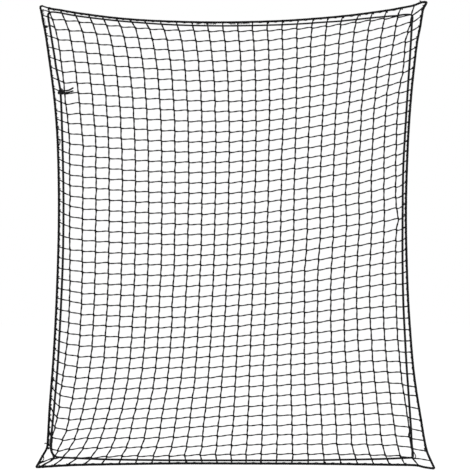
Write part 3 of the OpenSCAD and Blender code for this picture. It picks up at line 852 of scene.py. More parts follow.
@dataclass(frozen=True)
class Threading:
    """How the draw cord is threaded: it lies in front of the netting, and every other twine
    that it meets passes in front of it.

    Attributes:
        depth: y of the cord's centre line in front of the netting.
        pressed: y of its centre line where a twine holds it back.
        cord_r: the cord's radius.
        hump: half-width of the hump that a twine makes over the cord.
        dent: half-width of the dent that the twine makes in the cord's line.
        meets: distance within which a twine counts as meeting the cord.
        twine_points: points at which a twine is looked at for that.
        cord_points: points at which a side of the cord is.
    """

    depth: float = -0.0055
    pressed: float = -0.0042
    cord_r: float = 0.0027
    hump: float = 0.0080
    dent: float = 0.010
    meets: float = 0.003
    twine_points: int = 60
    cord_points: int = 900

    def in_front(self, k: np.ndarray) -> np.ndarray:
        """Which of the twines k pass in front of the cord: the odd ones."""
        return k % 2 == 1

    def held_at(self, lines: MeshLines, side: Side) -> np.ndarray:
        """Where a twine passes in front of a side's cord: the nearest points of the cord to
        every other twine, drawn straight from its tie to its outermost joint.

        Args:
            lines: where the joints and ties lie.
            side: the side.

        Returns:
            Points (x, z), one per row.
        """
        k = np.arange(1.0, lines.columns if side in LEVEL_SIDES else lines.rows)
        tie = lines.outline.point(side, lines.tie(side, k))
        joints = lines.joints()
        first = {Side.TOP: joints[:, 0], Side.BOTTOM: joints[:, -1],
                 Side.LEFT: joints[0], Side.RIGHT: joints[-1]}[side]
        share = np.linspace(0, 1, self.twine_points)[:, None]
        straight = tie[:, None] + share * (first - tie)[:, None]
        cord = lines.cord.point(side, np.linspace(0, 1, self.cord_points))
        far = np.linalg.norm(straight[:, :, None] - cord[None, None], axis=-1)
        nearest = cord[np.argmin(far.min(axis=1), axis=1)]
        return nearest[self.in_front(k) & (far.min(axis=(1, 2)) < self.meets)]

    def cord_depth(self, lines: MeshLines, flat: np.ndarray) -> np.ndarray:
        """Depth of the cord: the plain depth, less a bell at each place where a twine holds it
        back.

        Args:
            lines: where the joints and ties lie.
            flat: points (x, z) of the cord's line, one per row.

        Returns:
            y at each of them.
        """
        held = np.concatenate([self.held_at(lines, side) for side in Side])
        far = np.linalg.norm(flat[:, None] - held[None], axis=-1).min(axis=1)
        return self.depth + (self.pressed - self.depth) * np.exp(-(far / self.dent) ** 2)


@dataclass(frozen=True)
class EdgeSeat:
    """How the selvedge twine lies against the border rope, and the round that holds them both.

    Attributes:
        rope_r: the rope's radius.
        twine_r: the selvedge's radius.
        lean: angle of the selvedge behind the net's plane, seen from the rope.
        gap: left between the two.
    """

    rope_r: float = 0.0030
    twine_r: float = 0.0010
    lean: float = math.radians(50)
    gap: float = 0.0001

    @property
    def apart(self) -> float:
        """Distance between the two centre lines."""
        return self.rope_r + self.twine_r + self.gap

    @property
    def round_r(self) -> float:
        """Radius of the circle that holds both."""
        return (self.rope_r + self.apart + self.twine_r) / 2

    @property
    def round_back(self) -> float:
        """How far that circle's middle lies behind the rope's."""
        return (self.round_r - self.rope_r) * math.sin(self.lean)


@dataclass
class Netting:
    """Knotless netting: upright and level twines that run through a short shared diagonal at each
    joint, where they go half round each other, and a selvedge twine along the edge.

    Attributes:
        lines: where the joints and ties lie.
        upright_d: diameter of the upright twines.
        level_d: diameter of the level twines.
        joint_half: half of the diagonal that two twines share in a joint, across and down.
        joint_swell: factor on a twine's radius in a joint.
        joint_wrap: how far the twines go round each other in a joint, in front and behind.
        joint_aside: share of that by which they also part sideways.
        bar_rings: rings of a twine between two joints; the upright ones have one less.
        end_rings: rings between a tie and the first joint.
        level_dip: how far a level bar's ends lean along the diagonal, as a share of its length.
        upright_dip: the same for an upright bar.
        droop: how far the level twines' end bars hang below a straight line, with the twine at
            which they hang most and the number of twines in which that fades.
        snags: level twines snagged on the cord, as (side, twine, how far it is lifted).
        calm: share of an end bar, at each end, over which its hump over the cord dies away.
        strand_depth: how far the twine's two strands stand out, as a share of its radius.
        lay: length in which they go round once.
        selvedge_strand_depth: the same depth for the selvedge.
        selvedge_lay: its lay.
        selvedge_runs: the first and last tie that the selvedge reaches on each side.
        selvedge_points: points at which a side of it is worked out.
        selvedge_rings: rings of a side of it.
        cord_points: points at which a side of the draw cord is.
        threading: how the draw cord is threaded.
        edge: how the selvedge lies against the rope.
    """

    lines: MeshLines
    upright_d: float = 0.0046
    level_d: float = 0.0039
    joint_half: Point2 = (0.0006, 0.0012)
    joint_swell: float = 1.36
    joint_wrap: float = 0.0009
    joint_aside: float = 0.35
    bar_rings: int = 6
    end_rings: int = 16
    level_dip: float = 0.24
    upright_dip: float = 0.11
    droop: dict[Side, Point3] = field(default_factory=lambda: {
        Side.LEFT: (0.0021, 24.0, 20.0), Side.RIGHT: (0.0018, 20.5, 6.0)})
    snags: tuple[tuple[Side, int, float], ...] = (
        (Side.LEFT, 2, 0.0060), (Side.RIGHT, 43, 0.0032))
    calm: float = 0.2
    strand_depth: float = 0.16
    lay: float = 0.045
    selvedge_strand_depth: float = 0.14
    selvedge_lay: float = 0.03
    selvedge_runs: dict[Side, Point2] = field(default_factory=lambda: {
        Side.TOP: (1.0, 26.0), Side.RIGHT: (1.5, 43.0),
        Side.BOTTOM: (2.5, 26.0), Side.LEFT: (1.0, 42.5)})
    selvedge_points: int = 300
    selvedge_rings: int = 320
    cord_points: int = 600
    threading: Threading = Threading()
    edge: EdgeSeat = EdgeSeat()

    def twine(self, diameter: float) -> Section:
        """Two strands, twisted."""
        return Section(diameter / 2, sides=8, lobes=2, depth=self.strand_depth, lay=self.lay)

    def through_joints(self, first: np.ndarray, joints: np.ndarray, last: np.ndarray,
                       dip: float, turn: float, bar_rings: int) -> np.ndarray:
        """Paths of the twines of one direction. Each goes from its first tie to its last, and
        through each joint by its upper left end, its middle and its lower right end; between them
        it is a cubic whose ends lean along the diagonal.

        Args:
            first: the first ties, as (twine, xz).
            joints: the joints, as (twine, joint, xz).
            last: the last ties, as (twine, xz).
            dip: how far a bar's ends lean along the diagonal, as a share of its length.
            turn: 1 or -1, which way round the other twine it goes in a joint.
            bar_rings: rings between two joints.

        Returns:
            Points, as (twine, ring, xyz).
        """
        diagonal = np.array([self.joint_half[0], 0.0, -self.joint_half[1]])
        beside = np.array([self.joint_wrap, 0.0, self.joint_wrap]) * turn * self.joint_aside
        depth = np.array([0.0, self.joint_wrap, 0.0]) * turn
        centre = upright(joints)
        enter = centre - diagonal + depth
        leave = centre + diagonal - depth
        middle = centre + beside
        lean = unit(np.array([1.0, 0.0, -1.0]))

        def bar(a: np.ndarray, b: np.ndarray, count: int, lean_a: float, lean_b: float) -> np.ndarray:
            """Bars drawn as a cubic between their two ends.

            Args:
                a: their first ends, as (..., xyz).
                b: their last ends.
                count: points between those.
                lean_a: how far they lean along the diagonal at a, as a share of their length.
                lean_b: the same at b.

            Returns:
                The points between, as (..., point, xyz).
            """
            s = (np.arange(1, count + 1) / (count + 1))[:, None]
            chord = b - a
            size = np.linalg.norm(chord, axis=-1, keepdims=True)
            ta, tb = chord + lean_a * size * lean, chord + lean_b * size * lean
            a, b, ta, tb = (q[..., None, :] for q in (a, b, ta, tb))
            return ((2 * s**3 - 3 * s**2 + 1) * a + (3 * s**2 - 2 * s**3) * b
                    + (s**3 - 2 * s**2 + s) * ta + (s**3 - s**2) * tb)

        start, end = upright(first), upright(last)
        inner = bar(leave[:, :-1], enter[:, 1:], bar_rings, dip, dip)
        nodes = np.stack([enter, middle, leave], axis=2)
        body = np.concatenate([nodes[:, :-1], inner], axis=2)
        body = body.reshape(len(body), -1, 3)
        head = bar(start, enter[:, 0], self.end_rings, 0.0, dip)
        tail = bar(leave[:, -1], end, self.end_rings, dip, 0.0)
        return np.concatenate([start[:, None], head, body, nodes[:, -1], tail, end[:, None]], axis=1)

    def swell(self, joints: int, bar_rings: int) -> np.ndarray:
        """Factor on a twine's radius: it is thickest in a joint, where its strands are opened
        by those of the other twine.

        Args:
            joints: joints along the twine.
            bar_rings: rings between two of them.

        Returns:
            The factor at each ring of its path.
        """
        half = (1 + self.joint_swell) / 2
        node = np.array([half, self.joint_swell, half])
        body = np.tile(np.concatenate([node, np.ones(bar_rings)]), joints - 1)
        end = np.ones(self.end_rings + 1)
        return np.concatenate([end, body, node, end])

    def droops(self, side: Side) -> np.ndarray:
        """How far the level twines' end bars hang: drop times e^-((k - at) / spread)^4 for twine
        k, and less than nothing for a snagged one.

        Args:
            side: LEFT or RIGHT.

        Returns:
            One value for each twine.
        """
        drop, at, spread = self.droop[side]
        k = np.arange(1.0, self.lines.rows)
        drops = drop * np.exp(-((k - at) / spread) ** 4)
        for snag_side, twine, lift in self.snags:
            if snag_side is side:
                drops[twine - 1] = -lift
        return drops

    def hung(self, paths: np.ndarray, at_start: bool, drops: np.ndarray) -> np.ndarray:
        """Paths whose end bars hang, most near the joint: z loses drop times 27/4 s^2 (1 - s),
        where s is the share of the bar from its tie.

        Args:
            paths: points, as (twine, ring, xyz).
            at_start: True for the paths' first bars, False for their last.
            drops: how far each twine's bar hangs at its lowest.

        Returns:
            The paths.
        """
        count = self.end_rings + 2
        part = paths[:, :count] if at_start else paths[:, -count:]
        s = np.linspace(0, 1, count) if at_start else np.linspace(1, 0, count)
        part[..., 2] -= drops[:, None] * 27 / 4 * s**2 * (1 - s)
        return paths

    def over_cord(self, paths: np.ndarray, line: np.ndarray, at_start: bool,
                  chosen: np.ndarray) -> np.ndarray:
        """Paths whose end bars pass in front of the draw cord: y gains front times
        e^-(distance along the bar / hump)^2, counted from where the bar comes nearest to the cord.

        Args:
            paths: points, as (twine, ring, xyz).
            line: the cord's line on that side, as (point, xz).
            at_start: True for the paths' first bars, False for their last.
            chosen: which twines pass in front.

        Returns:
            The paths.
        """
        count = self.end_rings + 2
        part = paths[:, :count] if at_start else paths[:, -count:]
        flat = part[..., [0, 2]]
        near = np.linalg.norm(flat[:, :, None] - line[None, None], axis=-1).min(-1)
        s = lengths(flat)
        away = s - s[np.arange(len(s)), np.argmin(near, axis=1)][:, None]
        share = s / s[:, -1:]
        calm = ease(share / self.calm) * ease((1 - share) / self.calm)
        bell = np.exp(-(away / self.threading.hump) ** 2) * calm
        front = self.threading.pressed - self.threading.cord_r - self.upright_d / 2
        part[..., 1] += front * bell * chosen[:, None]
        return paths

    def build(self, finish: LaidFinish) -> list[bpy.types.Object]:
        """The upright twines, the level twines and the selvedge.

        Args:
            finish: the twine's finish.

        Returns:
            The three objects.
        """
        lines, outline = self.lines, self.lines.outline
        joints = lines.joints()
        k_i, k_j = np.arange(1.0, lines.columns), np.arange(1.0, lines.rows)
        tie = {side: outline.point(side, lines.tie(side, k_i if side in LEVEL_SIDES else k_j))
               for side in Side}
        down = self.through_joints(tie[Side.TOP], joints, tie[Side.BOTTOM],
                                   self.upright_dip, 1.0, self.bar_rings - 1)
        across = self.through_joints(tie[Side.LEFT], joints.transpose(1, 0, 2), tie[Side.RIGHT],
                                     self.level_dip, -1.0, self.bar_rings)
        across = self.hung(across, True, self.droops(Side.LEFT))
        across = self.hung(across, False, self.droops(Side.RIGHT))
        cord = {side: lines.cord.point(side, np.linspace(0, 1, self.cord_points))
                for side in Side}
        front_i, front_j = self.threading.in_front(k_i), self.threading.in_front(k_j)
        down = self.over_cord(down, cord[Side.TOP], True, front_i)
        down = self.over_cord(down, cord[Side.BOTTOM], False, front_i)
        across = self.over_cord(across, cord[Side.LEFT], True, front_j)
        across = self.over_cord(across, cord[Side.RIGHT], False, front_j)
        material = finish.material("netting_twine")
        selvedge = Section(self.edge.twine_r, sides=8, lobes=2, depth=self.selvedge_strand_depth,
                           lay=self.selvedge_lay)
        made = [
            tube_object("netting_uprights", down, self.twine(self.upright_d), material,
                        thick=self.swell(lines.rows - 1, self.bar_rings - 1)),
            tube_object("netting_levels", across, self.twine(self.level_d), material,
                        thick=self.swell(lines.columns - 1, self.bar_rings)),
            tube_object("netting_selvedge", self.selvedge(), selvedge, material),
        ]
        for piece in made:
            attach(piece, "root")
            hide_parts("netting")
        return made

    def selvedge(self) -> np.ndarray:
        """Paths of the selvedge, pressed against the inner back of the rope.

        Returns:
            Points, as (side, ring, xyz).
        """
        outline, seat = self.lines.outline, self.edge
        aside, behind = seat.apart * math.cos(seat.lean), seat.apart * math.sin(seat.lean)
        paths = []
        for side, (first, last) in self.selvedge_runs.items():
            t = self.lines.tie(side, np.linspace(first, last, self.selvedge_points))
            flat = outline.point(side, t) + aside * outline.inwards(side, t)
            paths.append(even(upright(flat, behind), self.selvedge_rings))
        return np.stack(paths)


@dataclass
class BorderRope:
    """Laid rope round the net: four sides, and a loop at each corner that turns at its tip.

    Attributes:
        outline: its centre line.
        diameter: of the rope.
        strand_depth: how far its three strands stand out, as a share of its radius.
        lay: length in which they go round once.
        turn: how far before a tip the rope starts to turn.
        ends: for each side, the shares of its length at which its loops' hitches stand.
        fullness: factor on each side's radius: a rope drawn hard is thin, a slack or matted one
            is full.
        legs: the same for the upright and the level leg of each corner's loop.
        turned: the shares of a loop between which its fullness goes from one leg's to the other's.
        run_out: share of a loop, at each end, over which its fullness becomes the side's.
        side_points: points at which a side is worked out.
        side_rings: rings of a side.
        leg_points: points at which a leg of a loop is worked out.
        bend_points: points at which its bend is.
        corner_rings: rings of a corner's loop.
    """

    outline: Outline
    diameter: float = 0.0060
    strand_depth: float = 0.12
    lay: float = 0.018
    turn: float = 0.005
    ends: dict[Side, Point2] = field(default_factory=lambda: {
        Side.TOP: (0.025, 0.967), Side.RIGHT: (0.014, 0.964),
        Side.BOTTOM: (0.018, 0.957), Side.LEFT: (0.012, 0.975)})
    fullness: dict[Side, float] = field(default_factory=lambda: {
        Side.TOP: 0.95, Side.RIGHT: 1.18, Side.BOTTOM: 1.15, Side.LEFT: 1.16})
    legs: dict[Corner, Point2] = field(default_factory=lambda: {
        Corner.TOP_LEFT: (1.10, 0.80), Corner.TOP_RIGHT: (1.34, 1.15),
        Corner.BOTTOM_RIGHT: (1.20, 1.18), Corner.BOTTOM_LEFT: (1.20, 1.14)})
    turned: Point2 = (0.4, 0.6)
    run_out: float = 0.12
    side_points: int = 900
    side_rings: int = 480
    leg_points: int = 60
    bend_points: int = 24
    corner_rings: int = 72

    def section(self) -> Section:
        """Three strands, twisted."""
        return Section(self.diameter / 2, sides=12, lobes=3, depth=self.strand_depth,
                       lay=self.lay)

    def side_path(self, side: Side) -> np.ndarray:
        """Points along one side, from one hitch to the next."""
        line = self.outline.point(side, np.linspace(*self.ends[side], self.side_points))
        return upright(even(line, self.side_rings))

    def corner_path(self, corner: Corner) -> np.ndarray:
        """Course of a loop from the upright side's hitch to the level side's: the two sides'
        lines, joined by a bend at the tip.

        Args:
            corner: which loop.

        Returns:
            Points (x, y, z), one per row.
        """
        level, level_end, up, up_end = corner.value

        def leg(side: Side, at_end: bool) -> np.ndarray:
            """The rope from the hitch to near the tip.

            Args:
                side: the leg's side.
                at_end: whether the loop is at that side's last end.

            Returns:
                Points (x, z), one per row.
            """
            short = self.turn / self.outline.length(side)
            start = self.ends[side][1 if at_end else 0]
            stop = 1 - short if at_end else short
            return self.outline.point(side, np.linspace(start, stop, self.leg_points))

        a, b = leg(up, up_end), leg(level, level_end)[::-1]
        turn = bend(a[-1], self.outline.tip(corner), b[0], self.bend_points)
        return upright(even(np.concatenate([a, turn, b]), self.corner_rings))

    def corner_fullness(self, corner: Corner) -> np.ndarray:
        """Factor on a loop's radius: each leg has its own, and its ends run out to the sides'.

        Args:
            corner: which loop.

        Returns:
            The factor at each of its rings.
        """
        level, _, up, _ = corner.value
        s = np.linspace(0, 1, self.corner_rings)
        first, last = self.turned
        turned = ease((s - first) / (last - first))
        sides = self.fullness[up] + (self.fullness[level] - self.fullness[up]) * turned
        legs = self.legs[corner][0] + (self.legs[corner][1] - self.legs[corner][0]) * turned
        within = ease(s / self.run_out) * ease((1 - s) / self.run_out)
        return sides + (legs - sides) * within

    def build(self, finish: LaidFinish) -> list[bpy.types.Object]:
        """The eight pieces of the rope.

        Args:
            finish: the rope's finish.

        Returns:
            The objects.
        """
        material = finish.material("border_rope")
        made = [(f"border_rope_{side.name.lower()}", self.side_path(side), self.fullness[side])
                for side in Side]
        made += [(f"corner_loop_{corner.name.lower()}", self.corner_path(corner),
                  self.corner_fullness(corner)) for corner in Corner]
        objects = []
        for name, path, thick in made:
            piece = tube_object(f"{name}_laid", path, self.section(), material, thick=thick)
            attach(piece, "root")
            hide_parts(name)
            objects.append(piece)
        return objects


@dataclass
class Lashing:
    """Twine that ties the netting to the rope: along each side, tight turns beside each tie and a
    slow turn round the rope between them, and hitches at the ends of the corner loops.

    Attributes:
        lines: where the ties lie.
        rope: the rope that it goes round.
        edge: how the selvedge lies against the rope.
        twine_d: diameter of the twine.
        strand_depth: how far its two strands stand out, as a share of its radius.
        lay: length in which they go round once.
        tilt: how much of +Y is added to the rope's direction for the sweep, so that no turn runs
            in that direction.
        bite: how deep the turns press into the rope.
        proud: how far the tight turns stand off the rope on its outside.
        slack: how much smaller a slow turn is than a tight one.
        centring: how much nearer the rope's middle a slow turn is, as a share of the tight
            turns' distance from it.
        set_off: where each side's tight turns stand, in meshes past the tie.
        scatter: how far, in meshes, they stand from there at most.
        stand_off: how far they stand off the rope at most, beyond the usual.
        tight_turns: how many there are in a mesh.
        turn_gap: left between two of them.
        rings_per_turn: rings of a tight turn.
        run_rings: rings of a slow turn.
        seed: of the small differences between meshes, on the first side.
        hitch_turns: turns of a hitch.
        hitch_gap: left between two of them.
        hitch_rings: rings of one.
        hitch_waves: how far the turns stand in or out, and how many waves of that a turn has.
        extra_rings: rings of a set of extra turns.
        extras: those sets, as (side, first and last share of its length, turns, how far they
            stand off).
        loose_d: diameter of the loose twines.
        loose_lay: length in which their strands go round once.
        loose_rings: rings of a loose twine.
        loose: the loose twines, each as points (x, y, z) counted from the tip of a corner.
    """

    lines: MeshLines
    rope: BorderRope
    edge: EdgeSeat = EdgeSeat()
    twine_d: float = 0.0015
    strand_depth: float = 0.12
    lay: float = 0.008
    tilt: float = 0.3
    bite: float = 0.0004
    proud: float = 0.0003
    slack: float = 0.0007
    centring: float = 0.7
    set_off: dict[Side, float] = field(default_factory=lambda: {
        Side.TOP: 0.04, Side.RIGHT: 0.0, Side.BOTTOM: 0.03, Side.LEFT: -0.10})
    scatter: float = 0.05
    stand_off: float = 0.0008
    tight_turns: int = 2
    turn_gap: float = 0.0003
    rings_per_turn: int = 9
    run_rings: int = 10
    seed: int = 20
    hitch_turns: int = 4
    hitch_gap: float = 0.0002
    hitch_rings: int = 12
    hitch_waves: Point2 = (0.0004, 0.37)
    extra_rings: int = 64
    extras: tuple[tuple[Side, float, float, int, float], ...] = (
        (Side.LEFT, 0.0075, 0.0125, 3, 0.0014), (Side.LEFT, 0.0257, 0.0366, 5, 0.0007),
        (Side.LEFT, 0.0425, 0.0465, 4, 0.0020), (Side.LEFT, 0.9555, 0.9595, 3, 0.0008),
        (Side.LEFT, 0.2590, 0.2660, 4, 0.0009), (Side.LEFT, 0.8070, 0.8125, 3, 0.0012),
        (Side.LEFT, 0.8255, 0.8310, 3, 0.0012), (Side.LEFT, 0.9380, 0.9540, 6, 0.0010),
        (Side.RIGHT, 0.9545, 0.9615, 4, 0.0006),
        (Side.TOP, 0.4050, 0.4110, 3, 0.0005), (Side.TOP, 0.4255, 0.4540, 6, 0.0006),
        (Side.TOP, 0.4920, 0.5055, 4, 0.0006), (Side.TOP, 0.5130, 0.5415, 7, 0.0005))
    loose_d: float = 0.0032
    loose_lay: float = 0.012
    loose_rings: int = 26
    loose: tuple[tuple[Corner, tuple[Point3, ...]], ...] = (
        (Corner.TOP_RIGHT, ((-0.026, -0.003, -0.005), (-0.021, -0.004, -0.0005),
                            (-0.0185, -0.004, 0.0025), (-0.024, -0.003, 0.0035))),
        (Corner.TOP_RIGHT, ((-0.014, -0.003, -0.020), (-0.024, -0.002, -0.027),
                            (-0.034, -0.002, -0.033), (-0.043, -0.001, -0.040))),
        (Corner.TOP_LEFT, ((0.0055, -0.003, -0.0105), (0.012, -0.003, -0.0112),
                           (0.0195, -0.002, -0.0128), (0.0275, -0.001, -0.016))),
        (Corner.TOP_LEFT, ((0.0580, -0.003, -0.414), (0.0630, -0.004, -0.4205),
                           (0.0625, -0.004, -0.4285), (0.0590, -0.003, -0.436))),
        (Corner.BOTTOM_LEFT, ((0.0240, -0.003, 0.035), (0.0250, -0.005, 0.028),
                              (0.0225, -0.005, 0.022), (0.0170, -0.005, 0.0180),
                              (0.0125, -0.004, 0.0155))),
        (Corner.BOTTOM_LEFT, ((0.036, -0.002, 0.073), (0.032, -0.004, 0.0755),
                              (0.029, -0.004, 0.076), (0.0275, -0.003, 0.0735))),
        (Corner.BOTTOM_RIGHT, ((-0.068, -0.002, 0.055), (-0.0635, -0.004, 0.048),
                               (-0.0600, -0.004, 0.0405), (-0.0605, -0.003, 0.0350),
                               (-0.067, -0.002, 0.0325))),
        (Corner.BOTTOM_RIGHT, ((-0.073, -0.003, 0.122), (-0.0800, -0.006, 0.114),
                               (-0.0826, -0.006, 0.106), (-0.0800, -0.005, 0.098),
                               (-0.072, -0.003, 0.091))),
    )

    def section(self) -> Section:
        """Two strands, twisted."""
        return Section(self.twine_d / 2, sides=6, lobes=2, depth=self.strand_depth, lay=self.lay)

    def around(self, side: Side, t: np.ndarray, w: np.ndarray, grow: np.ndarray | float = 0.0,
               snug: np.ndarray | float = 0.0) -> np.ndarray:
        """Points of a winding at shares t: centre + r cos w inwards - r sin w y. The circle is
        nearly flush with the rope on the outside, so that the turns bulge inwards.

        Args:
            side: the side.
            t: shares of its length.
            w: angles round the rope.
            grow: how far the turns stand off.
            snug: from 0 to 1, how closely a turn hugs the bare rope.

        Returns:
            Points, one per row.
        """
        rope_r = self.rope.diameter / 2 * self.rope.fullness[side]
        r = self.edge.round_r + self.twine_d / 2 - self.bite + grow - self.slack * snug
        off = (r - rope_r + self.proud) * (1 - self.centring * snug)
        flat = self.lines.outline.point(side, t)
        inwards = self.lines.outline.inwards(side, t)
        p = flat + (off + r * np.cos(w))[..., None] * inwards
        return upright(p, self.edge.round_back - r * np.sin(w))

    def side_path(self, side: Side, seed: int) -> tuple[np.ndarray, np.ndarray]:
        """Path of one side's lashing, and the rope's direction at each of its points.

        Args:
            side: the side.
            seed: of the small differences between meshes.

        Returns:
            Points and directions, one per row.
        """
        lines = self.lines
        count = lines.columns if side in LEVEL_SIDES else lines.rows
        rng = np.random.default_rng(seed)
        tie = np.arange(1, count - 1)
        tight = self.tight_turns * self.rings_per_turn
        s = np.linspace(0, 1, tight + 1)
        pitch = self.twine_d + self.turn_gap
        width = self.tight_turns * pitch * count / lines.outline.length(side)
        middle = tie + self.set_off[side] + rng.uniform(-self.scatter, self.scatter, len(tie))
        u = middle[:, None] + (s - 0.5) * width
        w = TURN * ((self.tight_turns + 1) * (tie[:, None] - 1) + self.tight_turns * s + 0.5)
        grow = np.broadcast_to(rng.uniform(0.0, self.stand_off, len(tie))[:, None], u.shape)
        r = np.linspace(0, 1, self.run_rings + 2)[1:-1]
        run_u = u[:-1, -1:] + r * (u[1:, :1] - u[:-1, -1:])
        run_w = w[:-1, -1:] + TURN * r
        run_g = grow[:-1, -1:] * (1 - r) + grow[1:, :1] * r
        run_s = np.broadcast_to(np.sin(math.pi * r), run_u.shape)

        def joined(turns: np.ndarray, runs: np.ndarray) -> np.ndarray:
            """The values of the tight turns and of the runs between them, in order."""
            return np.concatenate([np.concatenate([turns[:-1], runs], axis=1).ravel(), turns[-1]])

        t = lines.tie(side, joined(u, run_u))
        path = self.around(side, t, joined(w, run_w), joined(grow, run_g),
                           joined(np.zeros_like(u), run_s))
        return path, upright(lines.outline.along(side, t))

    def hitch_path(self, side: Side, at_end: bool) -> tuple[np.ndarray, np.ndarray]:
        """Path of the turns round the bare rope at one end of a side's rope.

        Args:
            side: the side.
            at_end: whether they stand at its last end.

        Returns:
            Points, and the rope's direction at each of them, one per row.
        """
        outline = self.lines.outline
        share = self.rope.ends[side][1 if at_end else 0]
        s = np.linspace(-0.5, 0.5, self.hitch_turns * self.hitch_rings + 1)
        pitch = self.twine_d + self.hitch_gap
        t = share + s * self.hitch_turns * pitch / outline.length(side)
        w = TURN * self.hitch_turns * s
        radius = self.rope.diameter / 2 + self.twine_d / 2 - self.bite
        far, waves = self.hitch_waves
        radius = radius + far * np.cos(w * waves)
        flat = outline.point(side, t) + (radius * np.cos(w))[:, None] * outline.inwards(side, t)
        return upright(flat, -radius * np.sin(w)), upright(outline.along(side, t))

    def build(self, finish: LaidFinish) -> list[bpy.types.Object]:
        """The lashing of each side and the hitches of each corner.

        Args:
            finish: the lashing twine's finish.

        Returns:
            The objects.
        """
        material = finish.material("lashing_twine")
        section = self.section()
        objects = []
        for seed, side in enumerate(Side, self.seed):
            path, axis = self.side_path(side, seed)
            name = f"edge_lashing_{side.name.lower()}"
            piece = tube_object(f"{name}_turns", path, section, material,
                                axis[None] + self.tilt * Y_AXIS)
            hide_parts(name)
            objects.append(piece)
        for corner in Corner:
            level, level_end, up, up_end = corner.value
            pairs = [self.hitch_path(level, level_end), self.hitch_path(up, up_end)]
            paths = np.stack([p for p, _ in pairs])
            axes = np.stack([a for _, a in pairs])
            name = f"corner_hitch_{corner.name.lower()}"
            piece = tube_object(f"{name}_turns", paths, section, material, axes)
            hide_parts(name)
            objects.append(piece)
        objects += [self.extra_turns(material), self.loose_ends(material)]
        for piece in objects:
            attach(piece, "root")
        return objects

    def extra_turns(self, material: bpy.types.Material) -> bpy.types.Object:
        """Turns added by hand where the lashing was begun, joined or doubled.

        Args:
            material: the lashing twine's material.

        Returns:
            One object of all of them.
        """
        s = np.linspace(0, 1, self.extra_rings)
        pairs = []
        for side, first, last, turns, off in self.extras:
            t = first + s * (last - first)
            pairs.append((self.around(side, t, TURN * turns * s, off),
                          upright(self.lines.outline.along(side, t))))
        return tube_object("edge_lashing_extra_turns", np.stack([p for p, _ in pairs]),
                           self.section(), material,
                           np.stack([a for _, a in pairs]) + self.tilt * Y_AXIS)

    def loose_ends(self, material: bpy.types.Material) -> bpy.types.Object:
        """Short loose twines by the rope: each a smooth curve through given points.

        Args:
            material: the lashing twine's material.

        Returns:
            One object of all of them.
        """
        tips = {c: upright(self.lines.outline.tip(c)) for c in Corner}
        paths = np.stack([spline(tips[c] + np.array(p), self.loose_rings) for c, p in self.loose])
        section = Section(self.loose_d / 2, sides=8, lobes=2, depth=self.strand_depth,
                          lay=self.loose_lay)
        return tube_object("corner_loose_twines", paths, section, material)


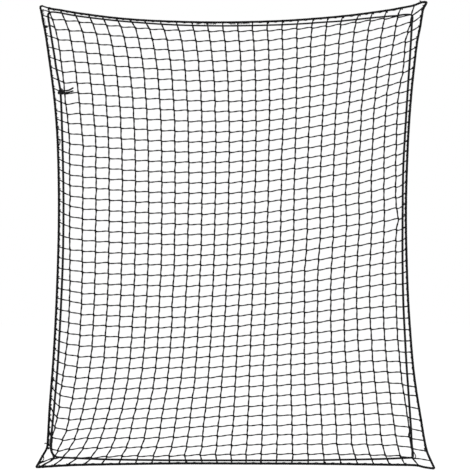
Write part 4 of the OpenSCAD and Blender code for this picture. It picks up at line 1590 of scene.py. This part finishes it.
@dataclass
class DrawCord:
    """Braided cord laid round the net just inside its border, with its knot and two free ends.

    Attributes:
        line: its line in the net's plane.
        lines: where the netting's joints and ties lie.
        threading: how it is threaded through the netting.
        leg_points: points at which a side of the cord is worked out.
        bend_points: points at which the bend at a corner is.
        rings: of the cord round the net.
        full_level: factor on its radius where it runs level along the bottom, and how much less
            that is along the top, where it is drawn hardest.
        full_upright: the same factor where it hangs upright.
        matted: what loose twine adds to the factor just above the bottom left corner, how far
            above, and the half-width of that.
        bends: how far before its corner the cord starts to bend.
        knot_diameter: of the cord in the knot.
        knot_size: a third of how far the knot's course reaches from its middle.
        knot_rings: of the knot.
        knot_facing: a direction that the knot's course never runs in.
        knot_at: share of the left side at which it lies.
        knot_aside: how far its middle lies to the right of the cord's line.
        knot_depth: y of its middle.
        tail_diameter: of the free ends.
        tail_rings: of a free end.
        tail_taper: factors on the radius of its last two rings.
        tail_gap: left between the knot and the point from which the ends are counted.
        upper_tail: points (x, y, z) of the upper free end.
        lower_tail: points of the lower one.
    """

    line: CordLine
    lines: MeshLines
    threading: Threading = Threading()
    leg_points: int = 500
    bend_points: int = 26
    rings: int = 2200
    full_level: Point2 = (1.18, 0.22)
    full_upright: float = 1.30
    matted: Point3 = (0.30, 0.040, 0.028)
    bends: dict[Corner, float] = field(default_factory=lambda: {
        Corner.TOP_LEFT: 0.006, Corner.TOP_RIGHT: 0.009,
        Corner.BOTTOM_RIGHT: 0.006, Corner.BOTTOM_LEFT: 0.016})
    knot_diameter: float = 0.0056
    knot_size: float = 0.0029
    knot_rings: int = 121
    knot_facing: Point3 = (0.0, 1.0, 0.3)
    knot_at: float = 0.179
    knot_aside: float = 0.0018
    knot_depth: float = -0.0066
    tail_diameter: float = 0.0052
    tail_rings: int = 30
    tail_taper: Point2 = (0.95, 0.72)
    tail_gap: float = 0.0003
    upper_tail: tuple[Point3, ...] = ((-0.005, 0.0, 0.002), (-0.001, 0.0, 0.003),
                                      (0.007, -0.001, 0.0035), (0.014, -0.001, 0.005),
                                      (0.021, 0.0, 0.0085), (0.0285, 0.001, 0.013))
    lower_tail: tuple[Point3, ...] = ((-0.003, 0.0, -0.0035), (0.0012, 0.0, -0.0035),
                                      (0.007, -0.001, -0.0025), (0.014, -0.001, -0.0015),
                                      (0.021, 0.0, 0.0005), (0.0282, 0.001, 0.003))

    def knot_centre(self) -> np.ndarray:
        """Middle of the knot, as (x, y, z)."""
        centre = upright(self.line.point(Side.LEFT, np.array(self.knot_at)), self.knot_depth)
        return centre + np.array([self.knot_aside, 0.0, 0.0])

    def knot_edge(self) -> np.ndarray:
        """Where the free ends' points are counted from: the tip of the knot's right-hand lobe,
        whose course reaches 3 cos 30 degrees times the knot's size from the middle.

        Returns:
            The point (x, y, z).
        """
        lobe = 3 * self.knot_size * math.cos(math.radians(30))
        reach = lobe + self.knot_diameter / 2 + self.tail_gap
        return self.knot_centre() + np.array([reach, 0.0, 0.0])

    def tails(self, material: bpy.types.Material) -> list[bpy.types.Object]:
        """The two free ends.

        Args:
            material: the cord's material.

        Returns:
            The two objects.
        """
        made = []
        for name, points in (("draw_cord_tail_upper", self.upper_tail),
                             ("draw_cord_tail_lower", self.lower_tail)):
            path = spline(self.knot_edge() + np.array(points), self.tail_rings)
            thick = np.ones(self.tail_rings)
            thick[-2:] = self.tail_taper
            section = Section(self.tail_diameter / 2, sides=12)
            piece = tube_object(f"{name}_braid", path, section, material, thick=thick)
            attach(piece, "root")
            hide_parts(name)
            made.append(piece)
        return made

    def build(self, material: bpy.types.Material) -> list[bpy.types.Object]:
        """The cord round the net and its knot.

        Args:
            material: the cord's material.

        Returns:
            The two objects.
        """
        flat = self.route()
        path = upright(flat, self.threading.cord_depth(self.lines, flat))
        section = Section(self.threading.cord_r, sides=12)
        loop = tube_object("draw_cord_braid", path, section, material, thick=self.fullness(path))
        knot = self.knot(material)
        for piece, node in ((loop, "draw_cord"), (knot, "draw_cord_knot")):
            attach(piece, "root")
            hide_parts(node)
        return [loop, knot]

    def fullness(self, path: np.ndarray) -> np.ndarray:
        """Factor on the cord's radius: it is fullest where it hangs upright and thinner where it
        runs level. Just above its bottom left corner it is matted with loose twine, which adds
        a bell, more times e^-(distance / spread)^2.

        Args:
            path: points of the cord, one per row.

        Returns:
            The factor at each of them.
        """
        bottom, less = self.full_level
        more, above, spread = self.matted
        low, high = path[:, 2].min(), path[:, 2].max()
        level = bottom - less * (path[:, 2] - low) / (high - low)
        along = unit(np.gradient(path, axis=0))
        middle = upright(self.line.corner(Corner.BOTTOM_LEFT) + np.array([0.0, above]))
        far = np.linalg.norm((path - middle)[:, [0, 2]], axis=1)
        full = level + (self.full_upright - level) * np.abs(along[:, 2])
        return full + more * np.exp(-(far / spread) ** 2)

    def size(self, side: Side) -> float:
        """Distance between the two corners of a side's cord."""
        first, last = self.line.point(side, np.array([0.0, 1.0]))
        return float(np.linalg.norm(last - first))

    def route(self) -> np.ndarray:
        """Course of the cord: down from the knot, round the net, and down to the knot again.

        Returns:
            Points (x, z), one per row.
        """
        reach = 2.0 * self.knot_size / self.size(Side.LEFT)
        legs = (
            (Side.LEFT, self.knot_at + reach, Corner.BOTTOM_LEFT),
            (Side.BOTTOM, Corner.BOTTOM_LEFT, Corner.BOTTOM_RIGHT),
            (Side.RIGHT, Corner.BOTTOM_RIGHT, Corner.TOP_RIGHT),
            (Side.TOP, Corner.TOP_RIGHT, Corner.TOP_LEFT),
            (Side.LEFT, Corner.TOP_LEFT, self.knot_at - reach),
        )

        def share(side: Side, end: Corner | float) -> float:
            """Where a leg starts or stops.

            Args:
                side: the leg's side.
                end: the corner at that end, or the share of the side itself.

            Returns:
                The share of the side.
            """
            if not isinstance(end, Corner):
                return end
            short = self.bends[end] / self.size(side)
            return 1 - short if SIDE_ENDS[side][1] is end else short

        pieces: list[np.ndarray] = []
        for side, start, stop in legs:
            shares = np.linspace(share(side, start), share(side, stop), self.leg_points)
            leg = self.line.point(side, shares)
            if pieces:
                corner = self.line.corner(start)
                pieces.append(bend(pieces[-1][-1], corner, leg[0], self.bend_points))
            pieces.append(leg)
        return even(np.concatenate(pieces), self.rings)

    def knot(self, material: bpy.types.Material) -> bpy.types.Object:
        """The overhand knot: the three-lobed course (sin a + 2 sin 2a, -sin 3a, 2 cos 2a - cos a)
        times the knot's size, as a tube that closes on itself.

        Args:
            material: the cord's material.

        Returns:
            The object.
        """
        a = np.linspace(0, TURN, self.knot_rings)
        course = np.stack([np.sin(a) + 2 * np.sin(2 * a), -np.sin(3 * a),
                           2 * np.cos(2 * a) - np.cos(a)], -1)
        path = self.knot_centre() + self.knot_size * course
        return tube_object("draw_cord_knot_braid", path, Section(self.knot_diameter / 2, sides=14),
                           material, np.array(self.knot_facing))


# ---------------------------------------------------------------- studio


def white_where_seen(tree: bpy.types.NodeTree) -> bpy.types.NodeSocket:
    """Tells what is seen from what only lights.

    Args:
        tree: where the nodes are made.

    Returns:
        A value that is 1 for a camera, glossy or transmission ray, and 0 for any other.
    """
    path = tree.nodes.new("ShaderNodeLightPath")
    total = path.outputs["Is Camera Ray"]
    for name in ("Is Glossy Ray", "Is Transmission Ray"):
        node = tree.nodes.new("ShaderNodeMath")
        node.operation = "ADD"
        node.use_clamp = True
        tree.links.new(total, node.inputs[0])
        tree.links.new(path.outputs[name], node.inputs[1])
        total = node.outputs[0]
    return total


@dataclass(frozen=True)
class Studio:
    """Camera, lights and plain white surroundings.

    Attributes:
        pixels: width of the picture.
        pixel: width that each of them shows in the net's plane.
        centre: point (x, z) of the net's plane at the picture's middle.
        distance: from the camera to the net.
        sensor: width of the camera's sensor, in millimetres.
        sight: how far the camera sees.
        ambient: strength of the grey light from all round.
        floor_z: height of the floor.
        floor_half: half of its width.
        floor_matt: grey of its matt surface.
        floor_glow: strength of its own light.
        floor_share: share of that light where the floor is seen.
        lamps: each as (name, place, width, power in watts).
    """

    pixels: int = 470
    pixel: float = 0.00313
    centre: Point2 = (-0.00094, 0.00125)
    distance: float = 6.0
    sensor: float = 36.0
    sight: float = 200.0
    ambient: float = 0.55
    floor_z: float = -0.95
    floor_half: float = 14.0
    floor_matt: float = 0.9
    floor_glow: float = 1.22
    floor_share: float = 0.7
    lamps: tuple[tuple[str, Point3, float, float], ...] = (
        ("key", (-2.6, -3.4, 3.2), 3.0, 150.0), ("fill", (3.2, -3.0, 1.4), 3.0, 60.0))

    def camera(self) -> None:
        """A long lens square to the net: focal length = sensor times distance / width shown."""
        data = bpy.data.cameras.new("camera")
        data.sensor_width = self.sensor
        data.lens = self.sensor * self.distance / (self.pixels * self.pixel)
        data.clip_end = self.sight
        obj = bpy.data.objects.new("camera", data)
        obj.location = (self.centre[0], -self.distance, self.centre[1])
        obj.rotation_euler = (math.pi / 2, 0.0, 0.0)
        bpy.context.scene.collection.objects.link(obj)
        bpy.context.scene.camera = obj

    def world(self) -> None:
        """White where the camera or a reflection sees it, and plain grey light elsewhere."""
        world = bpy.data.worlds.new("surroundings")
        bpy.context.scene.world = world
        world.use_nodes = True
        nodes, links = world.node_tree.nodes, world.node_tree.links
        nodes.clear()
        out = nodes.new("ShaderNodeOutputWorld")
        mix = nodes.new("ShaderNodeMixShader")
        light, seen = nodes.new("ShaderNodeBackground"), nodes.new("ShaderNodeBackground")
        light.inputs["Color"].default_value = WHITE
        light.inputs["Strength"].default_value = self.ambient
        seen.inputs["Color"].default_value = WHITE
        seen.inputs["Strength"].default_value = 1.0
        links.new(white_where_seen(world.node_tree), mix.inputs[0])
        links.new(light.outputs[0], mix.inputs[1])
        links.new(seen.outputs[0], mix.inputs[2])
        links.new(mix.outputs[0], out.inputs[0])

    def floor(self) -> None:
        """A large pale floor that shows white and still takes a soft shadow: seven tenths its own
        light and three tenths a matt surface where it is seen, and all matt to other rays."""
        half, z = self.floor_half, self.floor_z
        mesh = bpy.data.meshes.new("floor")
        mesh.from_pydata([(-half, -half, z), (half, -half, z), (half, half, z), (-half, half, z)],
                         [], [(0, 1, 2, 3)])
        obj = bpy.data.objects.new("floor", mesh)
        bpy.context.scene.collection.objects.link(obj)
        mat = bpy.data.materials.new("floor")
        mat.use_nodes = True
        nodes, links = mat.node_tree.nodes, mat.node_tree.links
        nodes.clear()
        out = nodes.new("ShaderNodeOutputMaterial")
        matt, glow = nodes.new("ShaderNodeBsdfDiffuse"), nodes.new("ShaderNodeEmission")
        matt.inputs["Color"].default_value = (self.floor_matt,) * 3 + (1.0,)
        glow.inputs["Strength"].default_value = self.floor_glow
        mix = nodes.new("ShaderNodeMixShader")
        share = nodes.new("ShaderNodeMath")
        share.operation = "MULTIPLY"
        share.inputs[1].default_value = self.floor_share
        links.new(white_where_seen(mat.node_tree), share.inputs[0])
        links.new(share.outputs[0], mix.inputs[0])
        links.new(matt.outputs[0], mix.inputs[1])
        links.new(glow.outputs[0], mix.inputs[2])
        links.new(mix.outputs[0], out.inputs[0])
        mesh.materials.append(mat)

    def lights(self) -> None:
        """Large soft lamps that point at the net's middle: a key from the upper left, and a
        weaker fill from the right."""
        for name, place, size, power in self.lamps:
            data = bpy.data.lights.new(name, "AREA")
            data.size = size
            data.energy = power
            obj = bpy.data.objects.new(name, data)
            obj.location = place
            aim = -np.array(place)
            tip = math.atan2(math.hypot(aim[0], aim[1]), -aim[2])
            obj.rotation_euler = (tip, 0.0, math.atan2(aim[1], aim[0]) - math.pi / 2)
            bpy.context.scene.collection.objects.link(obj)


def main() -> None:
    """Builds the camera, the draw cord, the netting, the rope, the lashing and the studio's world,
    floor and lamps, in that order."""
    logging.basicConfig(level=logging.INFO, format="%(name)s: %(message)s")
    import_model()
    scene = bpy.context.scene
    scene.view_settings.view_transform = "Standard"
    studio = Studio()
    studio.camera()
    outline = Outline()
    cord_line = CordLine(outline)
    lines = MeshLines(outline, cord_line)
    cord = DrawCord(cord_line, lines)
    cord_material = CORD_FINISH.material("draw_cord")
    cord.tails(cord_material)
    cord.build(cord_material)
    Netting(lines).build(TWINE_FINISH)
    rope = BorderRope(outline)
    rope.build(ROPE_FINISH)
    Lashing(lines, rope).build(LASHING_FINISH)
    studio.world()
    studio.floor()
    studio.lights()


if __name__ == "__main__":
    main()
